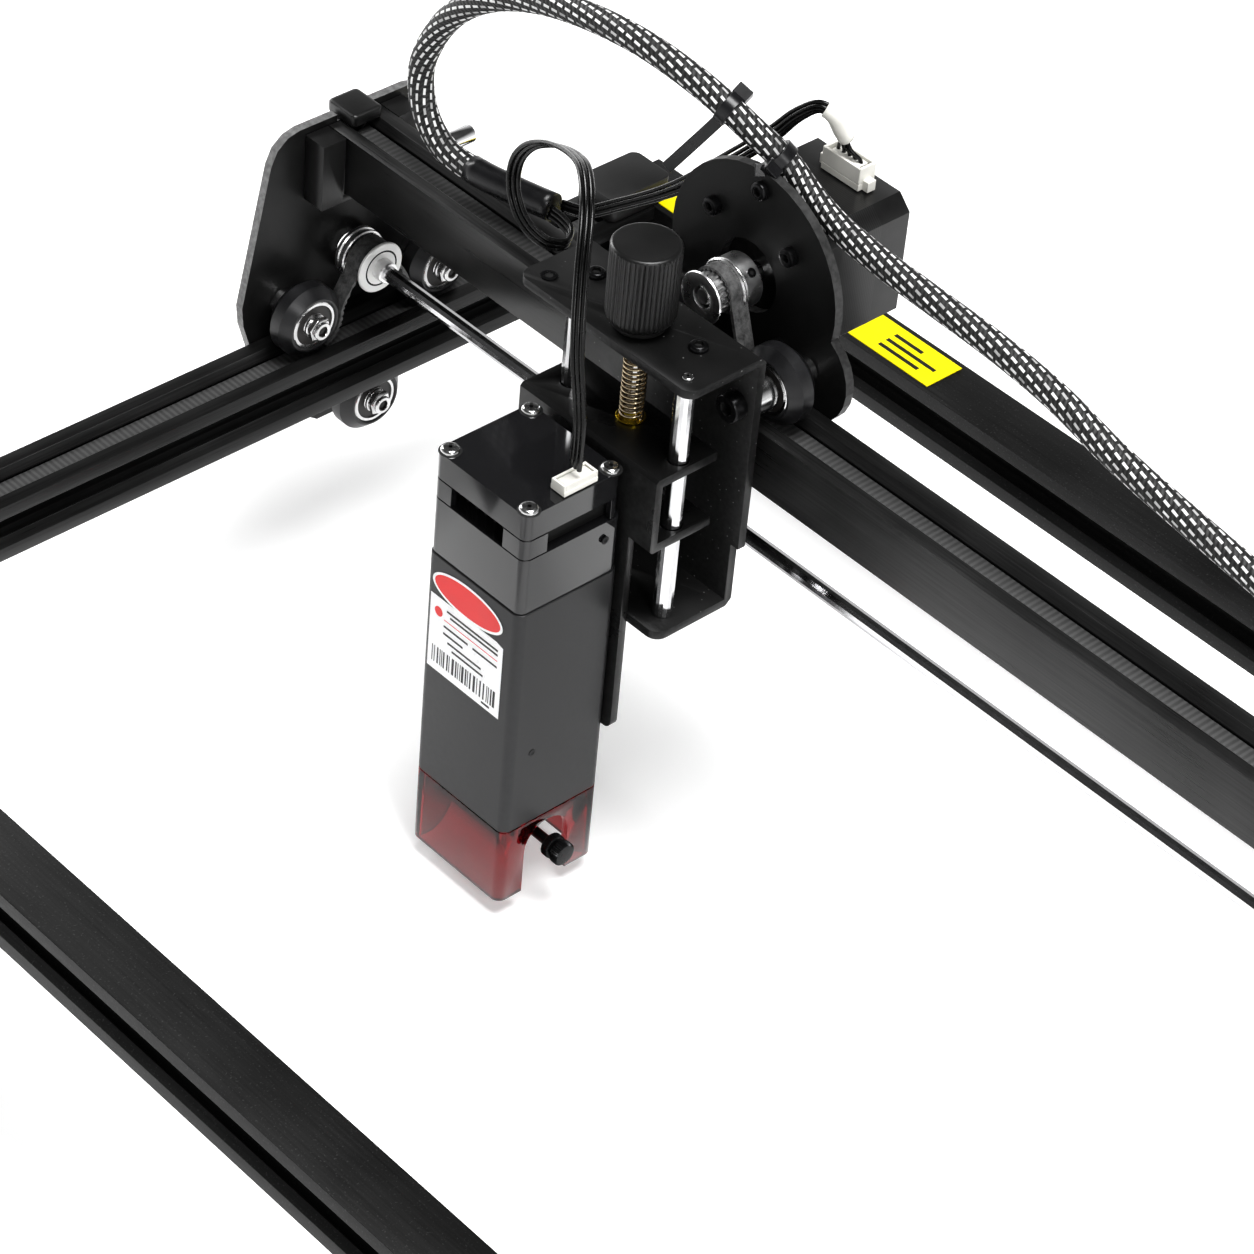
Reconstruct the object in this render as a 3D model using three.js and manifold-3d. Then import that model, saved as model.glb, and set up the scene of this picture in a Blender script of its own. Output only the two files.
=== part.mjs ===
// Desktop laser engraver: an open aluminium frame, a gantry on V-wheels that runs front to
// back, a carriage that runs across it, and a laser module on a hand-set height slide.
// Millimetres, +Z up. The origin is the middle of the footprint, on the table.
import * as THREE from 'three';
import { mergeVertices } from 'three/addons/utils/BufferGeometryUtils.js';
import Module from 'manifold-3d';

const wasm = await Module();
wasm.setup();

// ---- driving dimensions ----
const GAP = 0.3;
const PROFILE = 20;
const FRAME_WIDTH = 560;
const FRAME_DEPTH = 377;
const RAIL_TOP = 86.5;
const BEAM_TOP = 155;
const BEAM_FRONT = 46;
const CARRIAGE_X = -122;
const PLATE = 3;
const PLATE_INNER = FRAME_WIDTH / 2 + 1;

// V-slot: mouth and throat half widths, and depths below the face
const SLOT_MOUTH = 5.3;
const SLOT_THROAT = 3.15;
const SLOT_VEE = 2.15;
const SLOT_LIP = 2.6;
const SLOT_CAVITY = 5.6;
const SLOT_SHOULDER = 4.2;
const SLOT_FLOOR_HALF = 3.4;
const SLOT_DEPTH = 6.4;

// V-wheels and belts
const WHEEL_RADIUS = 12;
const WHEEL_LIFT = 10;
const WHEEL_SPREAD = 26;
const BELT_WIDTH = 6;
const BELT_THICK = 1.4;
const BELT_DEPTH = 3;
const PULLEY_RADIUS = 6;
const SYNC_Z = -48;
const X_PULLEY_Z = 27.4;

// laser module and its slide, from the carriage's middle, the beam's front and its top
const MODULE_LEFT = -23.4;
const MODULE_RIGHT = 16;
const MODULE_FRONT = -73.7;
const MODULE_BACK = -36.2;
const MODULE_TOP = -5;
const CAP_HEIGHT = 9;
const MODULE_BASE = -122;
const SHIELD_BASE = -149;
const SLIDE_X = 0.5;
const SLIDE_Y = -24;
const SCREW_Y = -21.5;
const ROD_SPREAD = 22.3;
const ROD_RADIUS = 3;
const BRACKET_LEFT = -38;
const BRACKET_RIGHT = 32.5;
const FOOT_RIGHT = 29.5;
const BRACKET_TOP = 29;
const BRACKET_BASE = -61;
const BRACKET_REACH = -32.6;
const BRACKET_BACK = -3.2;
const SHEET = 2.8;

// ---- materials ----
function finish(color, roughness, metalness, extra = {}) {
  return new THREE.MeshStandardMaterial({ color, roughness, metalness, ...extra });
}
const blackAnodised = finish(0x1d1e20, 0.45, 0.6);
const blackPlate = finish(0x141516, 0.5, 0.5);
const blackPlastic = finish(0x101112, 0.55, 0);
const rubber = finish(0x0c0c0d, 0.85, 0);
const brightSteel = finish(0xb9bcc0, 0.25, 1);
const whiteNylon = finish(0xe9e7e0, 0.5, 0);
const redAcrylic = finish(0xc01818, 0.1, 0, { transparent: true, opacity: 0.6 });
const braid = finish(0x1a1a1a, 0.8, 0);

// ---- solid helpers ----
function toSolid(geometry) {
  geometry.deleteAttribute('normal');
  geometry.deleteAttribute('uv');
  const merged = mergeVertices(geometry, 1e-4);
  return new wasm.Manifold(new wasm.Mesh({
    numProp: 3,
    vertProperties: merged.attributes.position.array,
    triVerts: new Uint32Array(merged.index.array),
  }));
}

function toMesh(name, solid, material) {
  const data = solid.getMesh();
  const geometry = new THREE.BufferGeometry();
  geometry.setAttribute('position', new THREE.BufferAttribute(data.vertProperties, 3));
  geometry.setIndex(new THREE.BufferAttribute(data.triVerts, 1));
  const flat = geometry.toNonIndexed();
  flat.computeVertexNormals();
  const mesh = new THREE.Mesh(flat, material);
  mesh.name = name;
  return mesh;
}

function box([x0, x1], [y0, y1], [z0, z1]) {
  const geometry = new THREE.BoxGeometry(x1 - x0, y1 - y0, z1 - z0);
  geometry.translate((x0 + x1) / 2, (y0 + y1) / 2, (z0 + z1) / 2);
  return toSolid(geometry);
}

// Extrudes a shape drawn in YZ along x, in XZ along y, or in XY along z.
function extrude(shape, axis, [from, to]) {
  const geometry = new THREE.ExtrudeGeometry(shape, { depth: to - from, bevelEnabled: false, curveSegments: 4 });
  if (axis === 'x') {
    geometry.applyMatrix4(new THREE.Matrix4().makeBasis(
      new THREE.Vector3(0, 1, 0), new THREE.Vector3(0, 0, 1), new THREE.Vector3(1, 0, 0)));
    geometry.translate(from, 0, 0);
  } else if (axis === 'y') {
    geometry.rotateX(Math.PI / 2);
    geometry.translate(0, to, 0);
  } else {
    geometry.translate(0, 0, from);
  }
  return toSolid(geometry);
}

function polygon(points) {
  return new THREE.Shape(points.map(([u, v]) => new THREE.Vector2(u, v)));
}

function disc([u, v], radius, sides) {
  const points = [];
  for (let i = 0; i < sides; i += 1) {
    const turn = (i * 2 * Math.PI) / sides;
    points.push([u + radius * Math.cos(turn), v + radius * Math.sin(turn)]);
  }
  return polygon(points);
}

function rod(axis, centre, radius, span, sides = 16) {
  return extrude(disc(centre, radius, sides), axis, span);
}

function roundedRect([u0, u1], [v0, v1], radius) {
  const shape = new THREE.Shape();
  shape.moveTo(u0 + radius, v0);
  shape.lineTo(u1 - radius, v0);
  shape.absarc(u1 - radius, v0 + radius, radius, -Math.PI / 2, 0);
  shape.lineTo(u1, v1 - radius);
  shape.absarc(u1 - radius, v1 - radius, radius, 0, Math.PI / 2);
  shape.lineTo(u0 + radius, v1);
  shape.absarc(u0 + radius, v1 - radius, radius, Math.PI / 2, Math.PI);
  shape.lineTo(u0, v0 + radius);
  shape.absarc(u0 + radius, v0 + radius, radius, Math.PI, Math.PI * 1.5);
  return shape;
}

// A strip of even thickness along a middle line: belts and bent sheet.
function ribbon(points, thick) {
  const left = [];
  const right = [];
  points.forEach(([u, v], i) => {
    const [pu, pv] = points[Math.max(i - 1, 0)];
    const [nu, nv] = points[Math.min(i + 1, points.length - 1)];
    const before = new THREE.Vector2(u - pu, v - pv).normalize();
    const after = new THREE.Vector2(nu - u, nv - v).normalize();
    const along = before.clone().add(after).normalize();
    const turned = i > 0 && i < points.length - 1 ? along.dot(before) : 1;
    const half = thick / 2 / Math.max(turned, 0.5);
    left.push([u - along.y * half, v + along.x * half]);
    right.push([u + along.y * half, v - along.x * half]);
  });
  return polygon([...left, ...right.reverse()]);
}

function joined(...solids) {
  return solids.reduce((all, one) => all.add(one));
}

function cut(body, ...tools) {
  return tools.reduce((left, tool) => left.subtract(tool), body);
}

// ---- profiles ----
// A square section about its middle, with V-slots in the named faces.
function vSlotSection(faces) {
  const half = PROFILE / 2;
  const slot = [
    [SLOT_MOUTH, 0], [SLOT_THROAT, SLOT_VEE], [SLOT_THROAT, SLOT_LIP], [SLOT_CAVITY, SLOT_LIP],
    [SLOT_CAVITY, SLOT_SHOULDER], [SLOT_FLOOR_HALF, SLOT_DEPTH],
  ];
  const full = [...slot.map(([w, d]) => [w, d]), ...slot.map(([w, d]) => [-w, d]).reverse()];
  const order = ['bottom', 'right', 'top', 'left'];
  const points = [];
  order.forEach((face, turn) => {
    const spin = ([u, v]) => [[u, v], [-v, u], [-u, -v], [v, -u]][turn];
    points.push(spin([-half, -half]));
    if (faces.includes(face)) {
      full.slice().reverse().forEach(([w, d]) => points.push(spin([w, -half + d])));
    }
  });
  return polygon(points);
}

function shifted(solid, x, y, z) {
  return solid.translate([x, y, z]);
}

// ---- the standing frame ----
const machine = new THREE.Group();
const halfWidth = FRAME_WIDTH / 2;
const halfDepth = FRAME_DEPTH / 2;
const railMiddle = RAIL_TOP - PROFILE / 2;
const sideRailX = halfWidth - PROFILE / 2;
const sideRailEnd = halfDepth - PROFILE - GAP;

for (const [side, sign] of [['left', -1], ['right', 1]]) {
  const section = vSlotSection(['bottom', 'right', 'top', 'left']);
  const rail = extrude(section, 'y', [-sideRailEnd, sideRailEnd]);
  machine.add(toMesh(`side_rail_${side}`, shifted(rail, sign * sideRailX, 0, railMiddle), blackAnodised));
  const beltTop = RAIL_TOP - BELT_DEPTH;
  const belt = box(
    [sign * sideRailX - BELT_WIDTH / 2, sign * sideRailX + BELT_WIDTH / 2],
    [-sideRailEnd + 2, sideRailEnd - 2],
    [beltTop - BELT_THICK, beltTop]);
  machine.add(toMesh(`y_belt_${side}`, belt, rubber));
}

for (const [end, sign] of [['front', -1], ['rear', 1]]) {
  const rail = extrude(vSlotSection(['bottom', 'right', 'left']), 'x', [-halfWidth, halfWidth]);
  const y = sign * (halfDepth - PROFILE / 2);
  machine.add(toMesh(`${end}_rail`, shifted(rail, 0, y, railMiddle), blackAnodised));
}

// The legs stand under the four corners, each a bent angle with a foot plate.
const FOOT_SIZE = 34;
const FOOT_WALL = 4;
for (const [end, signY] of [['front', -1], ['rear', 1]]) {
  for (const [side, signX] of [['left', -1], ['right', 1]]) {
    const top = RAIL_TOP - PROFILE - GAP;
    const along = (outer, sign, inner) => [sign * outer, sign * inner].sort((a, b) => a - b);
    const spanX = along(halfWidth, signX, halfWidth - FOOT_SIZE);
    const spanY = along(halfDepth, signY, halfDepth - FOOT_SIZE);
    const wallX = along(halfWidth, signX, halfWidth - FOOT_WALL);
    const wallY = along(halfDepth, signY, halfDepth - FOOT_WALL);
    const leg = joined(
      box(wallX, spanY, [0, top]),
      box(spanX, wallY, [0, top]),
      box(spanX, spanY, [top - FOOT_WALL, top]),
      box(spanX, spanY, [0, FOOT_WALL]));
    machine.add(toMesh(`leg_${end}_${side}`, leg, blackPlastic));
  }
}

// Blocks on the side rails' ends hold the ends of the Y belts.
const ANCHOR_HALF = 9;
const ANCHOR_HEIGHT = 9;
for (const [side, sign] of [['left', -1], ['right', 1]]) {
  const x = sign * sideRailX;
  const outline = roundedRect([x - ANCHOR_HALF, x + ANCHOR_HALF], [150, 176], 3);
  const anchor = extrude(outline, 'z', [RAIL_TOP + GAP, RAIL_TOP + ANCHOR_HEIGHT]);
  machine.add(toMesh(`belt_anchor_rear_${side}`, anchor, blackPlastic));
}

// ---- the gantry: everything below is measured from the beam's front top edge ----
const gantry = new THREE.Group();
gantry.position.set(0, BEAM_FRONT, BEAM_TOP);
machine.add(gantry);
const beamMiddleY = PROFILE / 2;
const railZ = RAIL_TOP - BEAM_TOP;
const upperWheelZ = railZ + WHEEL_LIFT;
const lowerWheelZ = railZ - PROFILE - WHEEL_LIFT;
const yWheels = [
  ['front', beamMiddleY - WHEEL_SPREAD, upperWheelZ],
  ['rear', beamMiddleY + WHEEL_SPREAD, upperWheelZ],
  ['lower', beamMiddleY, lowerWheelZ],
];

const AXLE_RADIUS = 2.5;
const SPACER_RADIUS = 4;
const TREAD_HALF = 5.1;
const VEE_HALF = 3.1;
const WHEEL_BORE = 2.9;

// One wheel: a V-tread turned on a bearing, its axis along y before it is turned.
function wheelSolid() {
  const flank = WHEEL_RADIUS - (TREAD_HALF - VEE_HALF);
  const profile = [
    [WHEEL_BORE, -TREAD_HALF], [flank, -TREAD_HALF], [WHEEL_RADIUS, -VEE_HALF],
    [WHEEL_RADIUS, VEE_HALF], [flank, TREAD_HALF], [WHEEL_BORE, TREAD_HALF], [WHEEL_BORE, -TREAD_HALF],
  ];
  return toSolid(new THREE.LatheGeometry(profile.map(([r, h]) => new THREE.Vector2(r, h)), 20));
}

const plateOutline = [
  [-11, 2.2], [-15.5, 1.2], [-19.5, -2], [-21.8, -7], [-31.7, -55], [-31, -62], [-24, -84], [-5, -108],
  [0, -111.5], [20, -111.5], [25, -108], [44, -84], [51, -62], [51.7, -55], [41.8, -7], [39.5, -2],
  [35.5, 1.2], [31, 2.2], [16.5, 2.2], [16.5, 0], [3.5, 0], [3.5, 2.2],
];
const SYNC_BORE = 4.5;

for (const [side, sign] of [['left', -1], ['right', 1]]) {
  const inner = sign * PLATE_INNER;
  const span = (a, b) => [inner - sign * a, inner - sign * b].sort((p, q) => p - q);
  const wheelX = inner - sign * (PLATE_INNER - sideRailX);
  let plate = cut(
    extrude(polygon(plateOutline), 'x', span(-PLATE, 0)),
    rod('x', [beamMiddleY, SYNC_Z], SYNC_BORE, span(-PLATE - 1, 1)));
  for (const [, y, z] of yWheels) {
    plate = joined(plate,
      rod('x', [y, z], SPACER_RADIUS, span(-0.5, 11 - TREAD_HALF - GAP)),
      rod('x', [y, z], AXLE_RADIUS, span(-0.5, 19.5)),
      rod('x', [y, z], SPACER_RADIUS, span(-PLATE - 2.5, -PLATE + 0.5)));
  }
  gantry.add(toMesh(`gantry_plate_${side}`, plate, blackPlate));

  yWheels.forEach(([place, y, z]) => {
    const wheel = wheelSolid().rotate([0, 0, 90]).translate([wheelX, y, z]);
    gantry.add(toMesh(`y_wheel_${side}_${place}`, wheel, rubber));
  });

  // A cradle under the beam's end, with a block on each side of it.
  const cradle = joined(
    box(span(GAP, 9), [-9, -GAP], [-PROFILE - 3, 0]),
    box(span(GAP, 9), [PROFILE + GAP, PROFILE + 9], [-PROFILE - 3, 0]),
    box(span(GAP, 9), [-1, PROFILE + 1], [-PROFILE - 3, -PROFILE - GAP]));
  gantry.add(toMesh(`beam_cradle_${side}`, cradle, blackPlastic));

  const clamp = box(span(-6, 7), [4.2, 15.8], [0.4, 4.6]);
  gantry.add(toMesh(`belt_clamp_${side}`, clamp, blackPlate));

  const pulley = cut(joined(
    rod('x', [beamMiddleY, SYNC_Z], 5.5, span(2, 6.2)),
    rod('x', [beamMiddleY, SYNC_Z], 8.2, span(6, 7.3), 24),
    rod('x', [beamMiddleY, SYNC_Z], PULLEY_RADIUS, span(7, 15), 24),
    rod('x', [beamMiddleY, SYNC_Z], 8.5, span(14.7, 16), 24)),
  rod('x', [beamMiddleY, SYNC_Z], 2.8, span(0, 17)));
  gantry.add(toMesh(`sync_pulley_${side}`, pulley, brightSteel));
}

// The belt leaves its slot, passes up round the pulley and goes down again behind the wheels.
function beltLoop(middle, pulleyHeight) {
  const reach = PULLEY_RADIUS + GAP + BELT_THICK / 2;
  const foot = [[19.5, -2], [16.8, -0.6], [14.2, 3.4], [12.7, 10]];
  const arch = [];
  for (let i = 0; i <= 8; i += 1) {
    const turn = (i * Math.PI) / 8;
    arch.push([reach * Math.cos(turn), pulleyHeight + reach * Math.sin(turn)]);
  }
  const path = [...foot, ...arch, ...foot.slice().reverse().map(([u, v]) => [-u, v])];
  return ribbon(path.map(([u, v]) => [middle + u, v]), BELT_THICK);
}

for (const [side, sign] of [['left', -1], ['right', 1]]) {
  const x = sign * sideRailX;
  const loop = extrude(beltLoop(beamMiddleY, SYNC_Z - railZ), 'x', [x - BELT_WIDTH / 2, x + BELT_WIDTH / 2]);
  gantry.add(toMesh(`y_belt_loop_${side}`, shifted(loop, 0, 0, railZ), rubber));
}

const beam = extrude(vSlotSection(['bottom', 'top', 'right']), 'x', [-PLATE_INNER + GAP, PLATE_INNER - GAP]);
gantry.add(toMesh('x_beam', shifted(beam, 0, beamMiddleY, -PROFILE / 2), blackAnodised));
gantry.add(toMesh('x_belt', box(
  [-PLATE_INNER + 4, PLATE_INNER - 4],
  [beamMiddleY - BELT_WIDTH / 2, beamMiddleY + BELT_WIDTH / 2],
  [-BELT_DEPTH - BELT_THICK, -BELT_DEPTH]), rubber));

const pinX = -PLATE_INNER + 22;
gantry.add(toMesh('stop_pin', rod('y', [pinX, -6], 3, [PROFILE + GAP, 38]), brightSteel));

// The motor that drives both Y pulleys hangs inside the right plate, on a bracket.
const MOTOR_HALF = 21.15;
const MOTOR_LENGTH = 34;
const yMotorEnd = PLATE_INNER - 34;
const CHAMFER = 4.5;
function motorSection(centreU, centreV) {
  const s = MOTOR_HALF;
  const c = s - CHAMFER;
  return polygon([[-c, -s], [c, -s], [s, -c], [s, c], [c, s], [-c, s], [-s, c], [-s, -c]]
    .map(([u, v]) => [centreU + u, centreV + v]));
}
gantry.add(toMesh('y_motor',
  cut(extrude(motorSection(beamMiddleY, SYNC_Z), 'x', [yMotorEnd - MOTOR_LENGTH, yMotorEnd]),
    rod('x', [beamMiddleY, SYNC_Z], 3.4, [yMotorEnd - MOTOR_LENGTH - 1, yMotorEnd + 1])),
  blackPlastic));
const bracketPlate = [yMotorEnd + GAP, yMotorEnd + GAP + PLATE];
const underBeam = -PROFILE - GAP;
gantry.add(toMesh('y_motor_bracket', cut(joined(
  box(bracketPlate, [beamMiddleY - 21, beamMiddleY + 21], [SYNC_Z - 21, underBeam]),
  box([yMotorEnd + GAP, PLATE_INNER - 10], [1, 19], [underBeam - PLATE, underBeam])),
rod('x', [beamMiddleY, SYNC_Z], 11, [yMotorEnd - 1, yMotorEnd + 5], 20)), blackPlate));

const shaft = rod('x', [beamMiddleY, SYNC_Z], AXLE_RADIUS, [-PLATE_INNER + 1, PLATE_INNER - 1], 12);
const coupling = rod('x', [beamMiddleY, SYNC_Z], 9.5, [yMotorEnd - MOTOR_LENGTH - 30, yMotorEnd - MOTOR_LENGTH - 5]);
gantry.add(toMesh('sync_shaft', joined(shaft, coupling), brightSteel));

// Control box behind the beam at its right end
const CONTROL_LEFT = 206;
const controlShell = extrude(roundedRect([CONTROL_LEFT, PLATE_INNER - 10], [PROFILE + GAP, 74], 5), 'z', [-14, 12]);
gantry.add(toMesh('control_box', controlShell, blackPlastic));

// ---- the carriage ----
const carriage = new THREE.Group();
carriage.position.set(CARRIAGE_X, 0, 0);
gantry.add(carriage);

const MOTOR_PLATE_FRONT = PROFILE + 0.6;
const motorPlateSpan = [MOTOR_PLATE_FRONT, MOTOR_PLATE_FRONT + PLATE];
const xWheels = [
  ['left', -WHEEL_SPREAD, WHEEL_LIFT],
  ['right', WHEEL_SPREAD, WHEEL_LIFT],
  ['lower', 0, -PROFILE - WHEEL_LIFT],
];
let motorPlate = joined(
  extrude(disc([1.5, 30], 33, 40), 'y', motorPlateSpan),
  extrude(disc([-WHEEL_SPREAD, WHEEL_LIFT], 15, 24), 'y', motorPlateSpan),
  extrude(disc([WHEEL_SPREAD, WHEEL_LIFT], 16, 24), 'y', motorPlateSpan),
  extrude(disc([0, -PROFILE - WHEEL_LIFT], 13, 24), 'y', motorPlateSpan),
  extrude(polygon([[-41, 10], [-12, -34], [12, -34], [42, 10]]), 'y', motorPlateSpan));
motorPlate = cut(motorPlate, rod('y', [0, X_PULLEY_Z], 11.3, [15, 30], 28));
for (const [, x, z] of xWheels) {
  motorPlate = joined(motorPlate,
    rod('y', [x, z], SPACER_RADIUS, [beamMiddleY + TREAD_HALF + GAP, MOTOR_PLATE_FRONT + 0.5]),
    rod('y', [x, z], AXLE_RADIUS, [BRACKET_BACK + GAP, MOTOR_PLATE_FRONT + 0.5]));
}
carriage.add(toMesh('motor_plate', motorPlate, blackPlate));
for (const [place, x, z] of xWheels) {
  carriage.add(toMesh(`x_wheel_${place}`, wheelSolid().translate([x, beamMiddleY, z]), rubber));
}

const xMotorFront = MOTOR_PLATE_FRONT + PLATE + GAP;
const xMotorBack = xMotorFront + MOTOR_LENGTH + 3.6;
carriage.add(toMesh('x_motor',
  cut(extrude(motorSection(0, X_PULLEY_Z), 'y', [xMotorFront, xMotorBack]),
    rod('y', [0, X_PULLEY_Z], 3, [xMotorFront - 1, xMotorFront + 8])),
  blackPlastic));
const socketZ = X_PULLEY_Z + MOTOR_HALF + GAP;
carriage.add(toMesh('x_motor_socket',
  box([-5, 10], [xMotorBack - 10.6, xMotorBack - 4.1], [socketZ, socketZ + 7.5]), whiteNylon));

carriage.add(toMesh('x_pulley', joined(
  rod('y', [0, X_PULLEY_Z], AXLE_RADIUS, [2, xMotorFront + 7]),
  rod('y', [0, X_PULLEY_Z], 7.8, [4.4, 5.8], 24),
  rod('y', [0, X_PULLEY_Z], PULLEY_RADIUS, [5.5, 14.6], 24),
  rod('y', [0, X_PULLEY_Z], 7.8, [14.2, xMotorFront - 1.2], 24)), brightSteel));
const xLoop = extrude(beltLoop(0, X_PULLEY_Z), 'y', [beamMiddleY - BELT_WIDTH / 2, beamMiddleY + BELT_WIDTH / 2]);
carriage.add(toMesh('x_belt_loop', xLoop, rubber));

// The Z bracket: one bent sheet, with two guide rods and the height screw between its flanges.
const rodsX = [SLIDE_X - ROD_SPREAD, SLIDE_X + ROD_SPREAD];
const backSheet = BRACKET_BACK - SHEET;
const bracketSide = polygon([
  [BRACKET_REACH, BRACKET_TOP], [BRACKET_REACH, BRACKET_TOP - SHEET],
  [backSheet, BRACKET_TOP - SHEET], [backSheet, BRACKET_BASE + SHEET],
  [BRACKET_REACH, BRACKET_BASE + SHEET], [BRACKET_REACH, BRACKET_BASE],
  [BRACKET_BACK - 2, BRACKET_BASE], [BRACKET_BACK, BRACKET_BASE + 2],
  [BRACKET_BACK, BRACKET_TOP - 2], [BRACKET_BACK - 2, BRACKET_TOP],
]);
const FOOT_SPLIT = -38;
const topRim = roundedRect([BRACKET_LEFT, BRACKET_RIGHT], [BRACKET_REACH, 3], 4);
const footRim = roundedRect([BRACKET_LEFT, FOOT_RIGHT], [BRACKET_REACH, 3], 4);
carriage.add(toMesh('z_bracket', cut(
  extrude(bracketSide, 'x', [BRACKET_LEFT, BRACKET_RIGHT]).intersect(joined(
    extrude(topRim, 'z', [FOOT_SPLIT, BRACKET_TOP + 1]),
    extrude(footRim, 'z', [BRACKET_BASE - 1, FOOT_SPLIT]))),
  rod('z', [SLIDE_X, SCREW_Y], 3, [BRACKET_BASE - 1, BRACKET_TOP + 1]),
  extrude(polygon([[FOOT_RIGHT, -50], [40, -50], [40, -30], [BRACKET_RIGHT, FOOT_SPLIT]]), 'y', [-9, 2]),
  extrude(polygon([[-28, -70], [BRACKET_LEFT, FOOT_SPLIT], [-42, -30], [-42, -70]]), 'y', [-9, 2])), blackPlate));
rodsX.forEach((x, i) => {
  const guide = rod('z', [x, SLIDE_Y], ROD_RADIUS, [BRACKET_BASE + SHEET + GAP, BRACKET_TOP - SHEET - GAP]);
  carriage.add(toMesh(`guide_rod_${['left', 'right'][i]}`, guide, brightSteel));
});

const BLOCK_TOP = -3;
const BLOCK_BASE = -29;
const SPRING_OUTER = 3.7;
carriage.add(toMesh('slide_spring', cut(
  rod('z', [SLIDE_X, SCREW_Y], SPRING_OUTER, [BLOCK_TOP + GAP, BRACKET_TOP - SHEET - GAP]),
  rod('z', [SLIDE_X, SCREW_Y], 2.6, [BLOCK_TOP - 1, BRACKET_TOP])), brightSteel));

// Height knob and its screw
const KNOB_TOP = 56.5;
const knobProfile = [
  [0, BRACKET_TOP + GAP], [8, BRACKET_TOP + GAP], [9, BRACKET_TOP + 3], [10, BRACKET_TOP + 5],
  [10.2, BRACKET_TOP + 8], [10.2, KNOB_TOP - 1], [9.4, KNOB_TOP], [0, KNOB_TOP],
];
const knob = toSolid(new THREE.LatheGeometry(knobProfile.map(([r, h]) => new THREE.Vector2(r, h)), 32))
  .rotate([90, 0, 0]).translate([SLIDE_X, SCREW_Y, 0]);
carriage.add(toMesh('height_knob', cut(knob,
  rod('z', [SLIDE_X, SCREW_Y], 2.4, [BRACKET_TOP, BRACKET_TOP + 12])), blackPlastic));
carriage.add(toMesh('height_screw',
  rod('z', [SLIDE_X, SCREW_Y], 2, [BRACKET_BASE + 0.6, BRACKET_TOP + 11], 12), brightSteel));

// ---- the sliding block and the laser module ----
const blockFront = MODULE_BACK + GAP;
const channel = polygon([
  [-13, BLOCK_TOP], [blockFront + 1, BLOCK_TOP], [blockFront, BLOCK_TOP - 1],
  [blockFront, BLOCK_BASE + 1], [blockFront + 1, BLOCK_BASE], [-13, BLOCK_BASE],
  [-13, BLOCK_BASE + 3], [blockFront + 2.6, BLOCK_BASE + 3],
  [blockFront + 2.6, BLOCK_TOP - 3], [-13, BLOCK_TOP - 3],
]);
const BACKING_BASE = -100;
carriage.add(toMesh('slide_block', cut(
  joined(
    extrude(channel, 'x', [-30, 27]),
    extrude(roundedRect([-22, 18], [BACKING_BASE, BLOCK_BASE + 4], 3), 'y', [blockFront, blockFront + 2.6])),
  rod('z', [SLIDE_X, SCREW_Y], 2.4, [-40, 5]),
  ...rodsX.map((x) => rod('z', [x, SLIDE_Y], ROD_RADIUS + 0.35, [-40, 5]))), blackPlate));

const moduleX = [MODULE_LEFT, MODULE_RIGHT];
const moduleY = [MODULE_FRONT, MODULE_BACK];
const capOutline = roundedRect(moduleX, [MODULE_FRONT, MODULE_BACK - 1.5], 3);
carriage.add(toMesh('module_cap', extrude(capOutline, 'z', [MODULE_TOP - CAP_HEIGHT, MODULE_TOP]), blackPlastic));
const bodyOutline = roundedRect(moduleX, moduleY, 3);
const ventSpan = [MODULE_TOP - CAP_HEIGHT - 7, MODULE_TOP - CAP_HEIGHT];
const moduleBody = cut(
  extrude(bodyOutline, 'z', [MODULE_BASE, MODULE_TOP - CAP_HEIGHT - GAP]),
  box([-15.9, 6.5], [MODULE_FRONT - 1, MODULE_FRONT + 5], ventSpan),
  box([MODULE_RIGHT - 5, MODULE_RIGHT + 1], [-65.4, -41], ventSpan),
  box([MODULE_LEFT - 1, MODULE_LEFT + 5], [-65.4, -41], ventSpan));
carriage.add(toMesh('module_body', moduleBody, blackAnodised));
carriage.add(toMesh('module_socket',
  box([9.6, 15], [-59.5, -47], [MODULE_TOP + GAP, MODULE_TOP + 5.5]), whiteNylon));

const lensX = (MODULE_LEFT + MODULE_RIGHT) / 2;
const lensY = (MODULE_FRONT + MODULE_BACK) / 2;
const FOCUS_Y = -56;
const FOCUS_Z = -133.5;
carriage.add(toMesh('lens_barrel', cut(
  rod('z', [lensX, lensY], 8.5, [-144, MODULE_BASE - GAP], 24),
  rod('z', [lensX, lensY], 4, [-145, -134], 12),
  rod('x', [FOCUS_Y, FOCUS_Z], 2, [lensX + 4, lensX + 10], 10)), brightSteel));
carriage.add(toMesh('focus_screw', joined(
  rod('x', [FOCUS_Y, FOCUS_Z], 1.6, [lensX + 5.5, MODULE_RIGHT + 3], 10),
  rod('x', [FOCUS_Y, FOCUS_Z], 3.8, [MODULE_RIGHT + 1.5, MODULE_RIGHT + 8.5], 20)), blackPlastic));

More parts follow.
